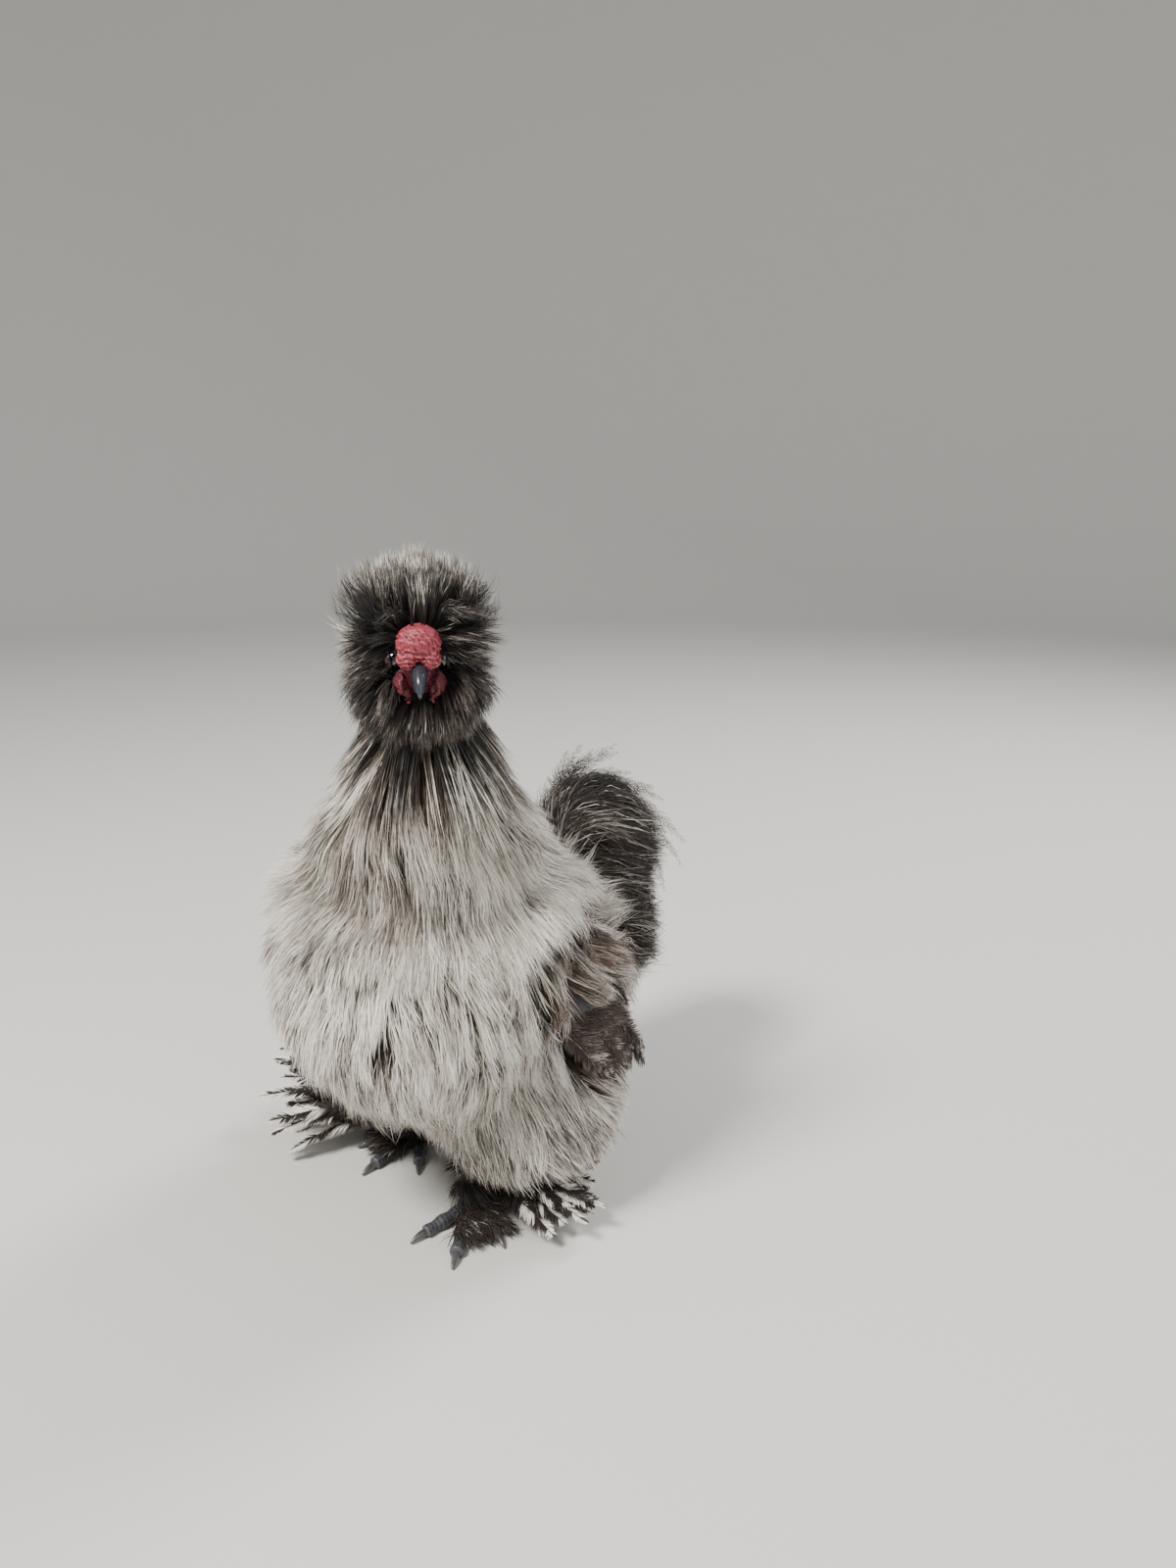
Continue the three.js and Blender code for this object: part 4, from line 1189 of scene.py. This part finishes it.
# Folds cross the comb over the bill, and its top is pebbled
def comb_folds(local):
    x, y, z = local.T
    front = smooth((15 - z) / 6)
    wander = 0.9 * np.sin(x / 2.6) + 2.4 * waves(local, 7.0, 90)
    fold = np.sin(2 * math.pi * z / 2.3 + wander + 0.5 * np.sin(y / 1.7))
    pebble = waves(local, 2.4, 91) * 0.7 + waves(local, 1.3, 92) * 0.4
    cleft = np.exp(-((x / 0.8) ** 2)) * smooth((8 - z) / 3)
    return 0.3 * front * fold + 0.36 * pebble - 0.6 * cleft


SKIN_DEPTH = 2.0
BODY_VOXEL, HEAD_VOXEL, LEG_VOXEL = ((2.4, 0.4, 0.65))


# One skin in zones: the body under the coat, the head, and the two legs
def make_skin():
    rng = np.random.default_rng(95)
    cores = []
    for form in [*BODY_FORMS, CREST, BEARD]:
        for at, radii in zip(form.at, form.radii):
            points, faces = ellipsoid(at, radii - SKIN_DEPTH)
            cores.append((from_head(points) if form.in_head else points, faces))
    points, quads = fused(cores, BODY_VOXEL, soften=3)
    zones = [(points, quads, painted(len(points), 0, 0, 0))]

    points, quads = fused(head_solids(rng), HEAD_VOXEL, soften=1)
    comb, face = red_parts(points)
    folds = comb * comb_folds(points) + (1 - comb) * 0.12 * waves(points, 1.8, 93)
    points = points + vertex_normals(points, quads) * folds[:, None]
    # The comb's red follows its folds: painted shade in the valleys and the cleft, painted light on
    # the ridges. The red face is a darker red all over
    raised = np.clip(0.5 + folds - 0.34 * face * (1 - comb), 0, 1)
    colours = painted(len(points), np.maximum(comb, 0.9 * face), 0, raised)
    zones.append((from_head(points), quads, colours))

    for name in SIDES:
        points, quads = fused(leg_solids(name), LEG_VOXEL, soften=2)
        plates = scutes(name, points)
        points = points + vertex_normals(points, quads) * plates[:, None]
        points[:, 2] = np.maximum(points[:, 2], 0.0)
        # The slate follows the scutes: painted shade in the grooves, painted light on the raised
        # plates
        colours = painted(len(points), 0, 1, np.clip(0.5 + 1.5 * plates, 0, 1))
        zones.append((points, quads, colours))
    points, faces = stacked([(p, q) for p, q, _ in zones])
    skin = mesh_object("skin", place(points), faces)
    colour_attribute(skin, "skin", *np.vstack([c for _, _, c in zones]).T)
    pairs = [f"{part}_{side}" for part in ("wattle", "foot", "shank") for side in SIDES]
    finish_piece(skin, materials["skin"], ["head", "comb", *pairs])


DARK_SKIN_STOPS = [(0.3, (0.012, 0.010, 0.014)), (0.7, (0.045, 0.035, 0.045))]
# Leg slate from the grooves, darkened as painted shade, to the raised plates, lightened as painted
# light
SLATE_STOPS = [(0.25, (0.012, 0.011, 0.013)), (0.6, (0.05, 0.05, 0.058)), (1.0, (0.11, 0.11, 0.12))]
# Red of the comb and face by how raised: dark in the comb's valleys as painted shade, light on its
# ridges as painted light
COMB_STOPS = [
    (0.0, (0.045, 0.005, 0.010)), (0.35, (0.20, 0.022, 0.036)),
    (0.7, (0.36, 0.052, 0.075)), (1.0, (0.5, 0.115, 0.135)),
]
BILL_STOPS = [(0.3, (0.016, 0.019, 0.026)), (0.7, (0.032, 0.037, 0.05))]
CLAW_STOPS = [(0.3, (0.03, 0.028, 0.028)), (0.7, (0.11, 0.10, 0.09))]
IRIS_STOPS = [
    (0.0, BLACK), (0.085, BLACK), (0.1, (0.05, 0.018, 0.008)), (0.17, (0.022, 0.008, 0.004)),
    (0.2, BLACK),
]


# The skin attribute holds how red, how much of the leg, and how raised. How raised also darkens the
# comb's folds and the legs' grooves as painted shade, and lightens the raised tops as painted light
def skin_material():
    n = Nodes("skin")
    red, leg, raised = n.attribute("skin")
    dark = n.ramp(n.noise(300.0), DARK_SKIN_STOPS)
    # Slate and comb red darken where the skin lies low, as painted shade, and lighten on raised
    # tops, as painted light
    slate = n.ramp(raised, SLATE_STOPS)
    mottle = n.swing(n.noise(500.0), middle=0.5, gain=0.35)
    comb = n.ramp(n.math("ADD", raised, mottle), COMB_STOPS)
    n.colour(n.mix(red, n.mix(leg, dark, slate), comb))
    n.set(Roughness=0.48, Specular_IOR_Level=0.45, Subsurface_Weight=0.05, Subsurface_Scale=0.002)
    n.bump(n.noise(1400.0, detail=5.0), strength=0.5, distance=0.0003)
    return n.material


def horn_material(name, stops, roughness):
    n = Nodes(name)
    n.colour(n.ramp(n.noise(240.0, detail=4.0), stops))
    n.set(Roughness=roughness, Specular_IOR_Level=0.6, Coat_Weight=0.3, Coat_Roughness=0.15)
    n.bump(n.noise(900.0), strength=0.15, distance=0.0002)
    return n.material


def eye_material():
    n = Nodes("eye")
    spread, _, _ = n.attribute("eye")
    n.colour(n.ramp(spread, IRIS_STOPS))
    n.set(Roughness=0.06, Specular_IOR_Level=0.7, Coat_Weight=1.0, Coat_Roughness=0.02)
    return n.material


materials = {
    "skin": skin_material(),
    "bill": horn_material("bill", BILL_STOPS, roughness=0.24),
    "horn": horn_material("claws", CLAW_STOPS, roughness=0.35),
    "eye": eye_material(),
}

make_skin()
make_bill("bill_upper", BILL_UPPER, [0, -32, -5.6])
make_bill("bill_lower", BILL_LOWER, [0, -27.6, -5.2])
for name_ in SIDES:
    make_eye(name_)
    make_claws(name_)
    toe_fluff(name_)


# Floor, light and camera

CAMERA_AT = [292.1, -559.9, 403.0]
CAMERA_WAY = [-0.3322, 0.9126, -0.2385]
FOCAL_MM = 27.0
SENSOR_MM = 36.0


def aim(obj, way):
    obj.rotation_euler = Vector(way).to_track_quat("-Z", "Y").to_euler()


FLOOR_RADIUS, BEND_RADIUS, WALL_HEIGHT = 3.2, 1.4, 3.4
FLOOR_SIDES = 96
LAMPS = [
    ("key", [-0.5, -1.3, 1.7], 78, 0.5, (1, 0.97, 0.92)),
    ("fill", [1.6, -0.9, 0.8], 9, 1.4, (0.92, 0.96, 1)),
    ("back", [0.8, 1.4, 1.5], 36, 0.7, (1, 0.98, 0.95)),
]


# A wide flat floor whose edge curves up into a wall all round
def make_floor():
    bend = np.linspace(0, math.pi / 2, 13)
    edge = FLOOR_RADIUS + BEND_RADIUS * np.sin(bend[1:])
    radii = np.concatenate([[0.5, FLOOR_RADIUS], edge, edge[-1:]])
    heights = np.concatenate([[0, 0], BEND_RADIUS * (1 - np.cos(bend[1:])), [WALL_HEIGHT]])
    points, faces = lofted(turned(radii, heights, FLOOR_SIDES), [0, 0, 0], [0, 0, WALL_HEIGHT])
    top = len(points) - 1
    open_above = faces[(faces < top).all(1)]
    floor = mesh_object("floor", points[:top], open_above[:, ::-1])
    n = Nodes("pale floor")
    n.set(Base_Color=(0.66, 0.65, 0.62, 1), Roughness=0.85)
    floor.data.materials.append(n.material)


def make_light():
    world = bpy.data.worlds.new("studio")
    bpy.context.scene.world = world
    world.use_nodes = True
    background = world.node_tree.nodes["Background"]
    background.inputs["Color"].default_value = (0.86, 0.89, 0.94, 1)
    background.inputs["Strength"].default_value = 0.5
    middle = place([10, 10, 180])
    for name, at, power, size, colour in LAMPS:
        lamp = bpy.data.lights.new(name, "AREA")
        lamp.energy = power
        lamp.size = size
        lamp.color = colour
        obj = linked(name, lamp)
        obj.location = middle + at
        aim(obj, middle - np.array(obj.location))


def make_camera():
    data = bpy.data.cameras.new("camera")
    data.lens = FOCAL_MM
    data.sensor_width = SENSOR_MM
    data.clip_start = 0.01
    camera = linked("camera", data)
    camera.location = place(CAMERA_AT)
    aim(camera, CAMERA_WAY)
    bpy.context.scene.camera = camera


make_floor()
make_light()
make_camera()
